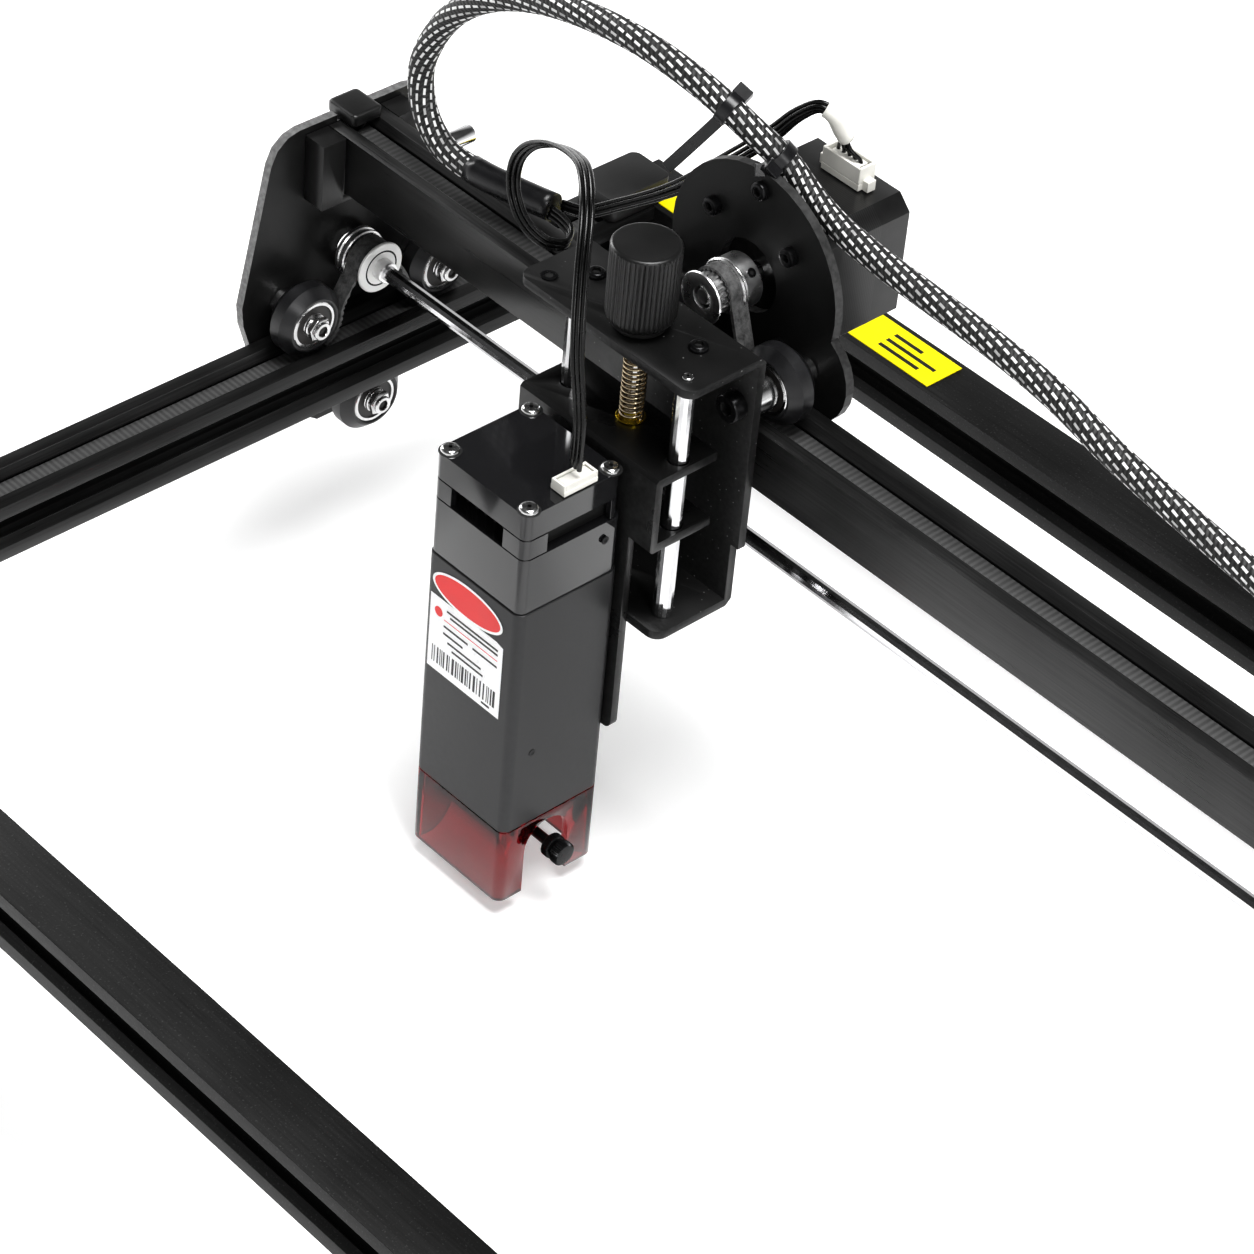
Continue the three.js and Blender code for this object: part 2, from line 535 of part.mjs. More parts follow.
const SHIELD_WALL = 2.4;
const shieldSpan = [SHIELD_BASE, MODULE_BASE - GAP];
const shieldHole = roundedRect(
  [MODULE_LEFT + SHIELD_WALL, MODULE_RIGHT - SHIELD_WALL],
  [MODULE_FRONT + SHIELD_WALL, MODULE_BACK - SHIELD_WALL], 1.5);
carriage.add(toMesh('eye_shield', cut(
  extrude(bodyOutline, 'z', shieldSpan),
  extrude(shieldHole, 'z', [SHIELD_BASE - 1, MODULE_BASE]),
  rod('x', [FOCUS_Y, FOCUS_Z], 8.5, [MODULE_RIGHT - 4, MODULE_RIGHT + 1], 24),
  box([MODULE_RIGHT - 4, MODULE_RIGHT + 1], [FOCUS_Y - 8.5, FOCUS_Y + 8.5], [SHIELD_BASE - 1, FOCUS_Z])),
redAcrylic));

// ---- cables: their routes are points set by hand, from the carriage's middle ----
function cable(points, radius, sides, steps) {
  const curve = new THREE.CatmullRomCurve3(points.map((p) => new THREE.Vector3(...p)));
  const section = disc([0, 0], radius, sides);
  return toSolid(new THREE.ExtrudeGeometry(section, { steps, extrudePath: curve, bevelEnabled: false }));
}
const SLEEVE_RADIUS = 4;
const sleeveLoop = [
  [-75, 15.5, 10.5], [-88, 12.5, 10.2], [-102, 10, 10], [-116, 9, 11], [-128, 11, 17], [-134, 14, 28],
  [-130, 16, 42], [-119, 16, 56], [-104, 16, 67], [-86, 16, 75], [-66, 16, 80], [-45, 16.5, 82],
  [-26, 18, 80], [-14, 20.5, 75.8], [-6, 23.6, 70.8], [-1, 26.5, 66.8], [3, 28.8, 63],
];
const sleeveSpan = [
  [4, 29.3, 61.9], [9, 30.2, 58], [20, 29.6, 54.2], [40, 28.4, 52.4], [63, 27, 52.5], [90, 26, 52],
  [112, 25.5, 49.5], [135.5, 25, 44], [184, 26, 35.5], [222, 29, 27], [256, 33, 18], [284, 36.5, 8],
  [302, 38.5, 2.5], [314, 39, 0.4], [320, 39, 0], [327.4, 39, 0],
];
const laserLead = [
  [12.4, -53.3, 1.2], [13.2, -54, 18], [8, -52, 37], [0, -45, 54], [-10, -35, 66], [-22, -25, 68],
  [-38, -14, 61], [-60, -3.5, 48.5], [-70, -1.5, 41], [-75.5, -0.5, 32], [-75, -1, 23], [-69, -1.5, 15.5],
  [-62.5, 1.5, 11], [-60, 7, 9.6], [-63.5, 11.6, 10], [-68.5, 13.1, 10.4], [-74, 13.2, 10.5],
];
const motorLead = [
  [-74, 17.9, 10.5], [-67, 20, 11.5], [-58, 25, 17], [-42, 32, 29], [-27, 37.5, 45], [-16, 41.5, 58],
  [-9.5, 44, 67], [-4, 46.5, 71.5], [-0.5, 48.5, 70], [1, 50.8, 65], [2, 53, 61], [2.4, 54.2, 57.2],
];
carriage.add(toMesh('sleeve_loop', cable(sleeveLoop, SLEEVE_RADIUS, 10, 44), braid));
gantry.add(toMesh('sleeve_span',
  cable(sleeveSpan.map(([x, y, z]) => [x + CARRIAGE_X, y, z]), SLEEVE_RADIUS, 10, 40), braid));
carriage.add(toMesh('laser_lead', cable(laserLead, 2.2, 8, 40), braid));
carriage.add(toMesh('motor_lead', cable(motorLead, 2, 8, 34), braid));

export default machine;
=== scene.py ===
# Desktop laser engraver: slotted rails, a belt-driven gantry and carriage, and a laser
# module on a hand-set height slide. Metres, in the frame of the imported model.
import math
import random

import bmesh
import bpy
from mathutils import Matrix, Vector


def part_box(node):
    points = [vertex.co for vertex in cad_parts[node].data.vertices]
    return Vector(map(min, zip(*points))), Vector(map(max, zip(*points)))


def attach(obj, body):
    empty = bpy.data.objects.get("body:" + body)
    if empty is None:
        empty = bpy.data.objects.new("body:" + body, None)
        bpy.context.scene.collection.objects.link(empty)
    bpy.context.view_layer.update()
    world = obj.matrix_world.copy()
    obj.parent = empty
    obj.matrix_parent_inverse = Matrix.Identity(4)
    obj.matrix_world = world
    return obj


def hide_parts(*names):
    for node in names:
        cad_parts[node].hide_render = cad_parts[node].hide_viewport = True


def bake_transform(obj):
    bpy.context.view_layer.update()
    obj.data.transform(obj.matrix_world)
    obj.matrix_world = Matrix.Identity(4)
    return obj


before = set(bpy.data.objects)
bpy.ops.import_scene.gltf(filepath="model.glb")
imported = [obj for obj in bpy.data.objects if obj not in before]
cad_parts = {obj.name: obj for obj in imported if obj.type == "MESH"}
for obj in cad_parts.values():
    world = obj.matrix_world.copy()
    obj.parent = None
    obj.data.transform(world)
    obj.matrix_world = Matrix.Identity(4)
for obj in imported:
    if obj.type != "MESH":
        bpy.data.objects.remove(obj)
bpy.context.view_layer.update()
MM = 0.001

# ---- Camera ----
# The machine is seen from its front right, from above, through a long lens, so that its
# far left end fills the picture. The picture leans a few degrees to one side.
camera_data = bpy.data.cameras.new("camera")
camera_data.lens = 128.3
camera = bpy.data.objects.new("camera", camera_data)
bpy.context.scene.collection.objects.link(camera)
bpy.context.scene.camera = camera
look = Vector((-0.5348, 0.5525, -0.6393)).normalized()
lean = math.radians(5.58)
side = look.cross(Vector((0, 0, 1))).normalized()
above = side.cross(look)
picture_right = side * math.cos(lean) + above * math.sin(lean)
picture_up = above * math.cos(lean) - side * math.sin(lean)
turn = Matrix((picture_right, picture_up, -look)).transposed()
camera.matrix_world = Matrix.Translation((0.5774, -0.6908, 0.9070)) @ turn.to_4x4()

# ---- Cables ----
# A braided sleeve carries the wires from the control box to the carriage, where it makes
# a high loop and is cut back: one lead goes to the laser module and one to the motor.
beam_low, beam_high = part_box("x_beam")
motor_low, motor_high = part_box("x_motor")
CARRIAGE_X = (motor_low[0] + motor_high[0]) / 2
BEAM_FRONT = beam_low[1]
BEAM_TOP = beam_high[2]


def carriage_point(x, y, z):
    """A point given in mm from the carriage's middle, the beam's front and its top."""
    return Vector((CARRIAGE_X + x * MM, BEAM_FRONT + y * MM, BEAM_TOP + z * MM))


def at(x, y, z):
    """The same, as a plain list in metres, for the corners of parts."""
    return list(carriage_point(x, y, z))


def smooth_line(points, per_span=5):
    """A smooth curve through the points, with even speed along short and long spans."""
    points = [Vector(p) for p in points]
    ends = [points[0] * 2 - points[1], *points, points[-1] * 2 - points[-2]]
    line = []
    for i in range(1, len(ends) - 2):
        p0, p1, p2, p3 = ends[i - 1:i + 3]
        knots = [0.0]
        for a, b in ((p0, p1), (p1, p2), (p2, p3)):
            knots.append(knots[-1] + max((b - a).length, 1e-7) ** 0.5)
        t0, t1, t2, t3 = knots
        for k in range(per_span):
            t = t1 + (t2 - t1) * k / per_span
            a1 = (p0 * (t1 - t) + p1 * (t - t0)) / (t1 - t0)
            a2 = (p1 * (t2 - t) + p2 * (t - t1)) / (t2 - t1)
            a3 = (p2 * (t3 - t) + p3 * (t - t2)) / (t3 - t2)
            b1 = (a1 * (t2 - t) + a2 * (t - t0)) / (t2 - t0)
            b2 = (a2 * (t3 - t) + a3 * (t - t1)) / (t3 - t1)
            line.append((b1 * (t2 - t) + b2 * (t - t1)) / (t2 - t1))
    line.append(points[-1])
    return line


def add_object(name, mesh):
    piece = bpy.data.objects.new(name, mesh)
    bpy.context.scene.collection.objects.link(piece)
    return piece


def strands(name, line, radius, sides, offsets=((0.0, 0.0),), twist=0.0, flat=None, spread=None):
    """One mesh of round strands side by side along a line, with UVs along and around. The
    row keeps to the flat direction, twist turns it, and spread(share) opens it up."""
    mesh = bpy.data.meshes.new(name)
    work = bmesh.new()
    uv_layer = work.loops.layers.uv.new("along")
    frames = []
    normal = Vector(flat or (0, 0, 1))
    gone = 0.0
    for i, point in enumerate(line):
        ahead = (line[min(i + 1, len(line) - 1)] - line[max(i - 1, 0)]).normalized()
        normal = (normal - ahead * normal.dot(ahead)).normalized()
        if i:
            gone += (point - line[i - 1]).length
        spun = Matrix.Rotation(twist * gone, 3, ahead) @ normal
        frames.append((point, spun, ahead.cross(spun), gone))
    for across, out in offsets:
        rings = []
        for point, normal_here, across_here, gone_here in frames:
            wide = spread(gone_here / gone) if spread else 1.0
            middle = point + (across_here * across + normal_here * out) * wide
            rings.append([work.verts.new(
                middle + (across_here * math.cos(a) + normal_here * math.sin(a)) * radius)
                for a in (2 * math.pi * k / sides for k in range(sides))])
        for i, (low, high) in enumerate(zip(rings, rings[1:])):
            for k in range(sides):
                other = (k + 1) % sides
                face = work.faces.new((low[k], low[other], high[other], high[k]))
                face.smooth = True
                around = (k / sides, (k + 1) / sides)
                for loop, u, v in zip(face.loops, (0, 0, 1, 1), (0, 1, 1, 0)):
                    loop[uv_layer].uv = (frames[i + u][3], around[v])
        work.faces.new(rings[0][::-1])
        work.faces.new(rings[-1])
    bmesh.ops.recalc_face_normals(work, faces=work.faces)
    work.to_mesh(mesh)
    work.free()
    return add_object(name, mesh)


class Nodes:
    """A small kit for wiring a material: make a node, join sockets, set plain values."""

    def __init__(self, name):
        self.material = bpy.data.materials.new(name)
        self.material.use_nodes = True
        self.tree = self.material.node_tree
        self.shader = self.tree.nodes["Principled BSDF"]

    def add(self, kind, inputs=None, **settings):
        node = self.tree.nodes.new("ShaderNode" + kind)
        for key, value in settings.items():
            setattr(node, key, value)
        for key, value in (inputs or {}).items():
            self.put(node.inputs[key], value)
        return node

    def put(self, socket, value):
        if isinstance(value, bpy.types.NodeSocket):
            self.tree.links.new(value, socket)
        else:
            socket.default_value = value

    def ramp(self, factor, *stops):
        node = self.add("ValToRGB", {"Fac": factor})
        points = node.color_ramp.elements
        while len(points) < len(stops):
            points.new(0.5)
        for point, (at, colour) in zip(points, stops):
            point.position = at
            point.color = colour if len(colour) == 4 else (*colour, 1)
        return node.outputs["Color"]

    def math(self, operation, a, b=0.0):
        return self.add("Math", {0: a, 1: b}, operation=operation).outputs[0]

    def mix(self, factor, a, b):
        """Colour a where the factor is 0, and b where it is 1."""
        return self.add("Mix", {0: factor, 6: a, 7: b}, data_type="RGBA").outputs[2]

    def shade(self, **values):
        for key, value in values.items():
            self.put(self.shader.inputs[key.replace("_", " ")], value)
        return self.material

    def bump(self, height, strength, distance):
        node = self.add("Bump", {"Height": height, "Strength": strength, "Distance": distance})
        self.put(self.shader.inputs["Normal"], node.outputs["Normal"])


def grey(value):
    return (value, value, value, 1)


def braid_material():
    kit = Nodes("braid_black_white")
    uv = kit.add("TexCoord").outputs["UV"]
    turned = kit.add("Mapping", {
        "Vector": uv, "Scale": (290, 5.5, 1), "Rotation": (0, 0, math.radians(7))}).outputs["Vector"]
    brick = kit.add("TexBrick", {
        "Vector": turned, "Color1": grey(1.0), "Color2": grey(0.7), "Mortar": grey(0.0), "Scale": 1.0,
        "Mortar Size": 0.17, "Mortar Smooth": 0.15, "Bias": 0.0, "Brick Width": 1.0,
        "Row Height": 0.5}, offset=0.5)
    weave = kit.add("TexWave", {"Vector": turned, "Scale": 1.2, "Distortion": 2.0, "Detail": 1.0},
                    bands_direction="DIAGONAL")
    dark = kit.ramp(weave.outputs["Fac"], (0.2, grey(0.003)), (0.9, grey(0.02)))
    spots = kit.ramp(brick.outputs["Color"], (0.6, (0, 0, 0)), (0.85, (1, 1, 1)))
    colour = kit.mix(spots, dark, grey(0.8))
    kit.bump(kit.math("ADD", weave.outputs["Fac"], brick.outputs["Color"]), 0.5, 0.25 * MM)
    return kit.shade(Base_Color=colour, Roughness=0.55)


def wire_material():
    kit = Nodes("black_wire")
    noise = kit.add("TexNoise", {
        "Vector": kit.add("TexCoord").outputs["Object"], "Scale": 260.0, "Detail": 3.0})
    kit.bump(noise.outputs["Fac"], 0.12, 0.1 * MM)
    rough = kit.ramp(noise.outputs["Fac"], (0.3, grey(0.2)), (0.7, grey(0.32)))
    return kit.shade(Base_Color=(0.004, 0.004, 0.004, 1), Roughness=rough, Specular_IOR_Level=0.4)


SLEEVE_DIAMETER = 8 * MM
sleeve_route = [
    (-75, 15.5, 10.5), (-88, 12.5, 10.2), (-102, 10, 10), (-116, 9, 11), (-128, 11, 17),
    (-134, 14, 28), (-130, 16, 42), (-119, 16, 56), (-104, 16, 67), (-86, 16, 75),
    (-66, 16, 80), (-45, 16.5, 82), (-26, 18, 80), (-14, 20.5, 75.8), (-6, 23.6, 70.8),
    (-1, 26.5, 66.8), (3.5, 29, 62.4), (9, 30.2, 58), (20, 29.6, 54.2), (40, 28.4, 52.4),
    (63, 27, 52.5), (90, 26, 52), (112, 25.5, 49.5), (135.5, 25, 44), (184, 26, 35.5),
    (222, 29, 27), (256, 33, 18), (284, 36.5, 8), (302, 38.5, 2.5), (314, 39, 0.4),
    (320, 39, 0), (327.4, 39, 0),
]
laser_route = [
    (12.4, -53.3, 1.2), (13.2, -54, 18), (8, -52, 37), (0, -45, 54), (-10, -35, 66),
    (-22, -25, 68), (-38, -14, 61), (-60, -3.5, 48.5), (-70, -1.5, 41), (-75.5, -0.5, 32),
    (-75, -1, 23), (-69, -1.5, 15.5), (-62.5, 1.5, 11), (-60, 7, 9.6), (-63.5, 11.6, 10),
    (-69, 13.1, 10.4), (-74, 13.2, 10.5),
]
motor_route = [
    (-74, 17.9, 10.5), (-67, 20, 11.5), (-58, 25, 17), (-42, 32, 29), (-27, 37.5, 45), (-16, 41.5, 58),
    (-9.5, 44, 67), (-4, 46.5, 71.5), (-0.5, 48.5, 70), (1, 50.8, 65), (2, 53, 61), (2.4, 54.2, 57.2),
]

wire = wire_material()
sleeve_line = smooth_line([carriage_point(*p) for p in sleeve_route])
sleeve = strands("cable_sleeve", sleeve_line, SLEEVE_DIAMETER / 2, 28)
sleeve.data.materials.append(braid_material())
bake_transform(sleeve)
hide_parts("sleeve_loop", "sleeve_span")

WIRE_RADIUS = 0.75 * MM
laser_line = smooth_line([carriage_point(*p) for p in laser_route])
laser_lead = strands("laser_lead_wires", laser_line, WIRE_RADIUS, 10,
                     [(-1.45 * MM, 0.0), (0.0, 0.0), (1.45 * MM, 0.0)], twist=9.0, flat=(0, 1, 0))
laser_lead.data.materials.append(wire)
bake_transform(laser_lead)
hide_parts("laser_lead")

motor_line = smooth_line([carriage_point(*p) for p in motor_route])[:50]


def motor_lead_spread(share):
    """The four wires open up a little on their way up behind the plate."""
    return 1.0 + 0.45 * max(math.sin(math.pi * (share - 0.25) / 0.6), 0.0) * (share < 0.85)


motor_lead = strands("motor_lead_wires", motor_line, 0.65 * MM, 10,
                     [(k * 0.95 * MM, (abs(k) - 1) * 0.7 * MM) for k in (-1.5, -0.5, 0.5, 1.5)],
                     flat=(0, 1, 0), spread=motor_lead_spread)
motor_lead.data.materials.append(wire)
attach(motor_lead, "carriage")
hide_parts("motor_lead")

for k in range(5):
    share = (k - 2) / 2
    foot = (2.5 + 4.6 * share, 54.1, 52.5)
    tail_line = smooth_line([motor_line[-1], carriage_point(1.8 + 2.6 * share, 52.8 - 0.5 * share, 59.2),
                             carriage_point(2.4 + 4.4 * share, 54.1, 56.4), carriage_point(*foot)], 8)
    tail = strands(f"motor_wire_tail_{k}", tail_line, 0.6 * MM, 10)
    tail.data.materials.append(wire)
    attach(tail, "carriage")

# ---- Slotted rails of the standing frame ----
# Four lengths of extruded 20 mm aluminium profile, anodised black and screwed together at
# the corners. The front and rear ones lie with a closed, grained face up.


def dress(node, material, bevel=0.35, sharp=32):
    """Gives a CAD node its finish, with softened edges and round faces shaded smooth."""
    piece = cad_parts[node]
    piece.data.materials.clear()
    piece.data.materials.append(material)
    for face in piece.data.polygons:
        face.use_smooth = True
    piece.data.set_sharp_from_angle(angle=math.radians(sharp))
    if bevel:
        weld = piece.modifiers.new("weld", "WELD")
        weld.merge_threshold = 0.001 * MM
        edges = piece.modifiers.new("edges", "BEVEL")
        edges.width = bevel * MM
        edges.segments = 2
        edges.limit_method = "ANGLE"
        edges.angle_limit = math.radians(sharp)
        edges.harden_normals = True
    return piece


def anodised(name, base, rough, along, speck=0.0, speck_scale=900.0):
    """Black anodised aluminium, with faint die lines along the extrusion."""
    kit = Nodes(name)
    place = kit.add("TexCoord").outputs["Object"]
    stretch = [160.0, 160.0, 160.0]
    stretch["xyz".index(along)] = 3.0
    lines = kit.add("TexNoise", {
        "Vector": kit.add("Mapping", {"Vector": place, "Scale": stretch}).outputs["Vector"],
        "Scale": 9.0, "Detail": 4.0, "Roughness": 0.6})
    cloud = kit.add("TexNoise", {"Vector": place, "Scale": 22.0, "Detail": 3.0})
    worn = kit.math("MULTIPLY", cloud.outputs["Fac"], lines.outputs["Fac"])
    colour = kit.ramp(worn, (0.1, grey(base * 0.7)), (0.45, grey(base * 1.35)))
    if speck:
        grain = kit.add("TexNoise", {"Vector": place, "Scale": speck_scale, "Detail": 2.0})
        dots = kit.ramp(grain.outputs["Fac"], (0.62, (0, 0, 0)), (0.74, grey(speck)))
        colour = kit.mix(dots, colour, grey(0.12))
        kit.bump(grain.outputs["Fac"], 0.25, 0.08 * MM)
    else:
        kit.bump(lines.outputs["Fac"], 0.035, 0.05 * MM)
    roughness = kit.ramp(worn, (0.1, grey(rough - 0.08)), (0.5, grey(rough + 0.08)))
    return kit.shade(Base_Color=colour, Roughness=roughness, Metallic=0.75)


cross_rail_finish = anodised("anodised_grained", 0.022, 0.5, "x", speck=0.3, speck_scale=1500.0)
for node in ("front_rail", "rear_rail"):
    dress(node, cross_rail_finish, 0.3)
side_rail_finish = anodised("anodised_side_rail", 0.028, 0.34, "y")
for node in ("side_rail_left", "side_rail_right"):
    dress(node, side_rail_finish, 0.3)

# ---- Legs ----
# Moulded black angle legs under the four corners, screwed up into the rails' slots.


def moulded(name, base=0.012, rough=0.5, scale=700.0, strength=0.18):
    """Black moulded plastic with a fine spark-eroded grain."""
    kit = Nodes(name)
    place = kit.add("TexCoord").outputs["Object"]
    grain = kit.add("TexNoise", {"Vector": place, "Scale": scale, "Detail": 3.0})
    cloud = kit.add("TexNoise", {"Vector": place, "Scale": 35.0, "Detail": 4.0})
    kit.bump(grain.outputs["Fac"], strength, 0.08 * MM)
    roughness = kit.ramp(cloud.outputs["Fac"], (0.3, grey(rough - 0.07)), (0.7, grey(rough + 0.07)))
    colour = kit.ramp(cloud.outputs["Fac"], (0.3, grey(base * 0.8)), (0.7, grey(base * 1.3)))
    return kit.shade(Base_Color=colour, Roughness=roughness)


leg_plastic = moulded("leg_plastic")
for end in ("front", "rear"):
    for hand in ("left", "right"):
        dress(f"leg_{end}_{hand}", leg_plastic, 0.8)

# ---- Belt end blocks ----
# A rounded black block on the rear end of each side rail clamps the end of the Y belt.
for hand in ("left", "right"):
    dress(f"belt_anchor_rear_{hand}", leg_plastic, 1.2, sharp=50)

# ---- Rear rail label ----
# A yellow vinyl strip on the rear rail's top, with plain bars where the print would be.


class Build:
    """Gathers turned parts, prisms and boxes into one mesh, with a material for each."""

    def __init__(self):
        self.mesh = bmesh.new()

    def faces(self, groups, material):
        for verts in groups:
            face = self.mesh.faces.new(verts)
            face.material_index = material
            face.smooth = True

    def turned(self, profile, start, axis, sides=48, material=0, closed=False, wave=None):
        """Turns (radius, height) points round an axis; closed joins the last to the first."""
        axis = Vector(axis).normalized()
        across = axis.orthogonal().normalized()
        other = axis.cross(across)
        rings = []
        for radius, height in profile:
            middle = Vector(start) + axis * height
            if radius == 0:
                rings.append([self.mesh.verts.new(middle)] * sides)
                continue
            ring = []
            for k in range(sides):
                turn = 2 * math.pi * k / sides
                reach = radius + (wave(turn, height) if wave else 0.0)
                ring.append(self.mesh.verts.new(
                    middle + (across * math.cos(turn) + other * math.sin(turn)) * reach))
            rings.append(ring)
        pairs = list(zip(rings, rings[1:]))
        if closed:
            pairs.append((rings[-1], rings[0]))
        for low, high in pairs:
            for k in range(sides):
                n = (k + 1) % sides
                corners = [low[k], low[n], high[n], high[k]]
                corners = [v for i, v in enumerate(corners) if v not in corners[:i]]
                if len(corners) > 2:
                    self.faces([corners], material)
        return self

    def prism(self, outline, low, high, axis, material=0):
        """An outline drawn in the two other axes, in their order, from low to high."""
        i = "xyz".index(axis)
        a, b = [k for k in range(3) if k != i]
        ends = []
        for depth in (low, high):
            ring = []
            for u, v in outline:
                place = [0.0, 0.0, 0.0]
                place[i], place[a], place[b] = depth, u, v
                ring.append(self.mesh.verts.new(place))
            ends.append(ring)
        self.faces([ends[0][::-1], ends[1]], material)
        count = len(outline)
        self.faces([(ends[0][k], ends[0][(k + 1) % count], ends[1][(k + 1) % count], ends[1][k])
                    for k in range(count)], material)
        return self

    def box(self, low, high, material=0):
        outline = [(low[0], low[1]), (high[0], low[1]), (high[0], high[1]), (low[0], high[1])]
        return self.prism(outline, low[2], high[2], "z", material)

    def done(self, name, materials, body, slot, bevel=0.0, sharp=32, instead=()):
        bmesh.ops.recalc_face_normals(self.mesh, faces=self.mesh.faces)
        mesh = bpy.data.meshes.new(name)
        self.mesh.to_mesh(mesh)
        self.mesh.free()
        for material in materials:
            mesh.materials.append(material)
        mesh.set_sharp_from_angle(angle=math.radians(sharp))
        piece = add_object(name, mesh)
        if bevel:
            edges = piece.modifiers.new("edges", "BEVEL")
            edges.width = bevel * MM
            edges.segments = 3
            edges.limit_method = "ANGLE"
            edges.angle_limit = math.radians(sharp)
            edges.harden_normals = True
        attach(piece, body)
        if instead:
            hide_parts(*instead)
        return piece


def rounded(u0, u1, v0, v1, radius, steps=6):
    """A rectangle's outline with round corners."""
    outline = []
    for cu, cv, start in ((u1 - radius, v0 + radius, -0.5), (u1 - radius, v1 - radius, 0.0),
                          (u0 + radius, v1 - radius, 0.5), (u0 + radius, v0 + radius, 1.0)):
        for k in range(steps + 1):
            a = math.pi * (start + 0.5 * k / steps)
            outline.append((cu + radius * math.cos(a), cv + radius * math.sin(a)))
    return outline


def plain(name, colour, rough, metallic=0.0, mottle=0.12, scale=60.0, strength=0.05, **extra):
    """One colour with slight cloudiness and a faint surface texture."""
    kit = Nodes(name)
    noise = kit.add("TexNoise", {
        "Vector": kit.add("TexCoord").outputs["Object"], "Scale": scale, "Detail": 5.0})
    dark = [c * (1 - mottle) for c in colour]
    light = [min(c * (1 + mottle), 1.0) for c in colour]
    base = kit.ramp(noise.outputs["Fac"], (0.3, dark), (0.7, light))
    roughness = kit.ramp(noise.outputs["Fac"], (0.3, grey(max(rough - 0.05, 0.02))),
                         (0.7, grey(rough + 0.05)))
    kit.bump(noise.outputs["Fac"], strength, 0.1 * MM)
    return kit.shade(Base_Color=base, Roughness=roughness, Metallic=metallic, **extra)


rear_low, rear_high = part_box("rear_rail")
label_top = rear_high[2] + 0.35 * MM
label_left = rear_low[0] + 15 * MM
label_right = rear_low[0] + 142 * MM
label_front = rear_low[1] + 2.2 * MM
label_back = rear_high[1] - 2.2 * MM
label = Build().box((label_left, label_front, rear_high[2] + 0.05 * MM), (label_right, label_back,
    label_top))
print_top = label_top + 0.05 * MM
for k in range(4):
    start = label_left + (9 + 31 * k) * MM
    for row, reach in enumerate((17, 21, 12)):
        low_y = label_front + (3.2 + 3.6 * row) * MM
        label.box((start, low_y, label_top), (start + reach * MM, low_y + 1.5 * MM, print_top), 1)
label.done("rear_rail_label", [
    plain("yellow_vinyl", (0.92, 0.78, 0.0), 0.42, mottle=0.05),
    plain("label_print", (0.01, 0.01, 0.01), 0.5)], "root", "black_anodised_profile")

# ---- Cross beam ----
# The gantry's 20 mm profile, with its closed, fine-brushed face to the front and a slot on
# top for the carriage's wheels and belt. Screws through the end plates hold it.
beam_finish = anodised("anodised_beam", 0.05, 0.33, "x")
dress("x_beam", beam_finish, 0.3)

# ---- Belts ----
# Open-ended 6 mm timing belts of black neoprene over glass cord. Each lies still in its
# slot; the loop that climbs over a pulley has its teeth on the inner side.


def belt_material(name, along):
    kit = Nodes(name)
    place = kit.add("TexCoord").outputs["Object"]
    ribs = kit.add("TexWave", {"Vector": place, "Scale": 160.0, "Distortion": 0.4},
                   bands_direction=along.upper())
    fuzz = kit.add("TexNoise", {"Vector": place, "Scale": 900.0, "Detail": 2.0})
    colour = kit.ramp(ribs.outputs["Fac"], (0.2, grey(0.045)), (0.85, grey(0.075)))
    kit.bump(kit.math("ADD", ribs.outputs["Fac"], fuzz.outputs["Fac"]), 0.15, 0.1 * MM)
    return kit.shade(Base_Color=colour, Roughness=0.5)


x_belt_finish = belt_material("belt_x", "x")
y_belt_finish = belt_material("belt_y", "y")
dress("x_belt", x_belt_finish, 0.15)
for hand in ("left", "right"):
    dress(f"y_belt_{hand}", y_belt_finish, 0.15)


def loop_material():
    kit = Nodes("belt_loop")
    place = kit.add("TexCoord").outputs["Object"]
    cord_lines = kit.add("TexNoise", {"Vector": place, "Scale": 420.0, "Detail": 6.0, "Roughness": 0.8})
    colour = kit.ramp(cord_lines.outputs["Fac"], (0.35, grey(0.03)), (0.7, grey(0.15)))
    kit.bump(cord_lines.outputs["Fac"], 0.5, 0.12 * MM)
    return kit.shade(Base_Color=colour, Roughness=0.5)


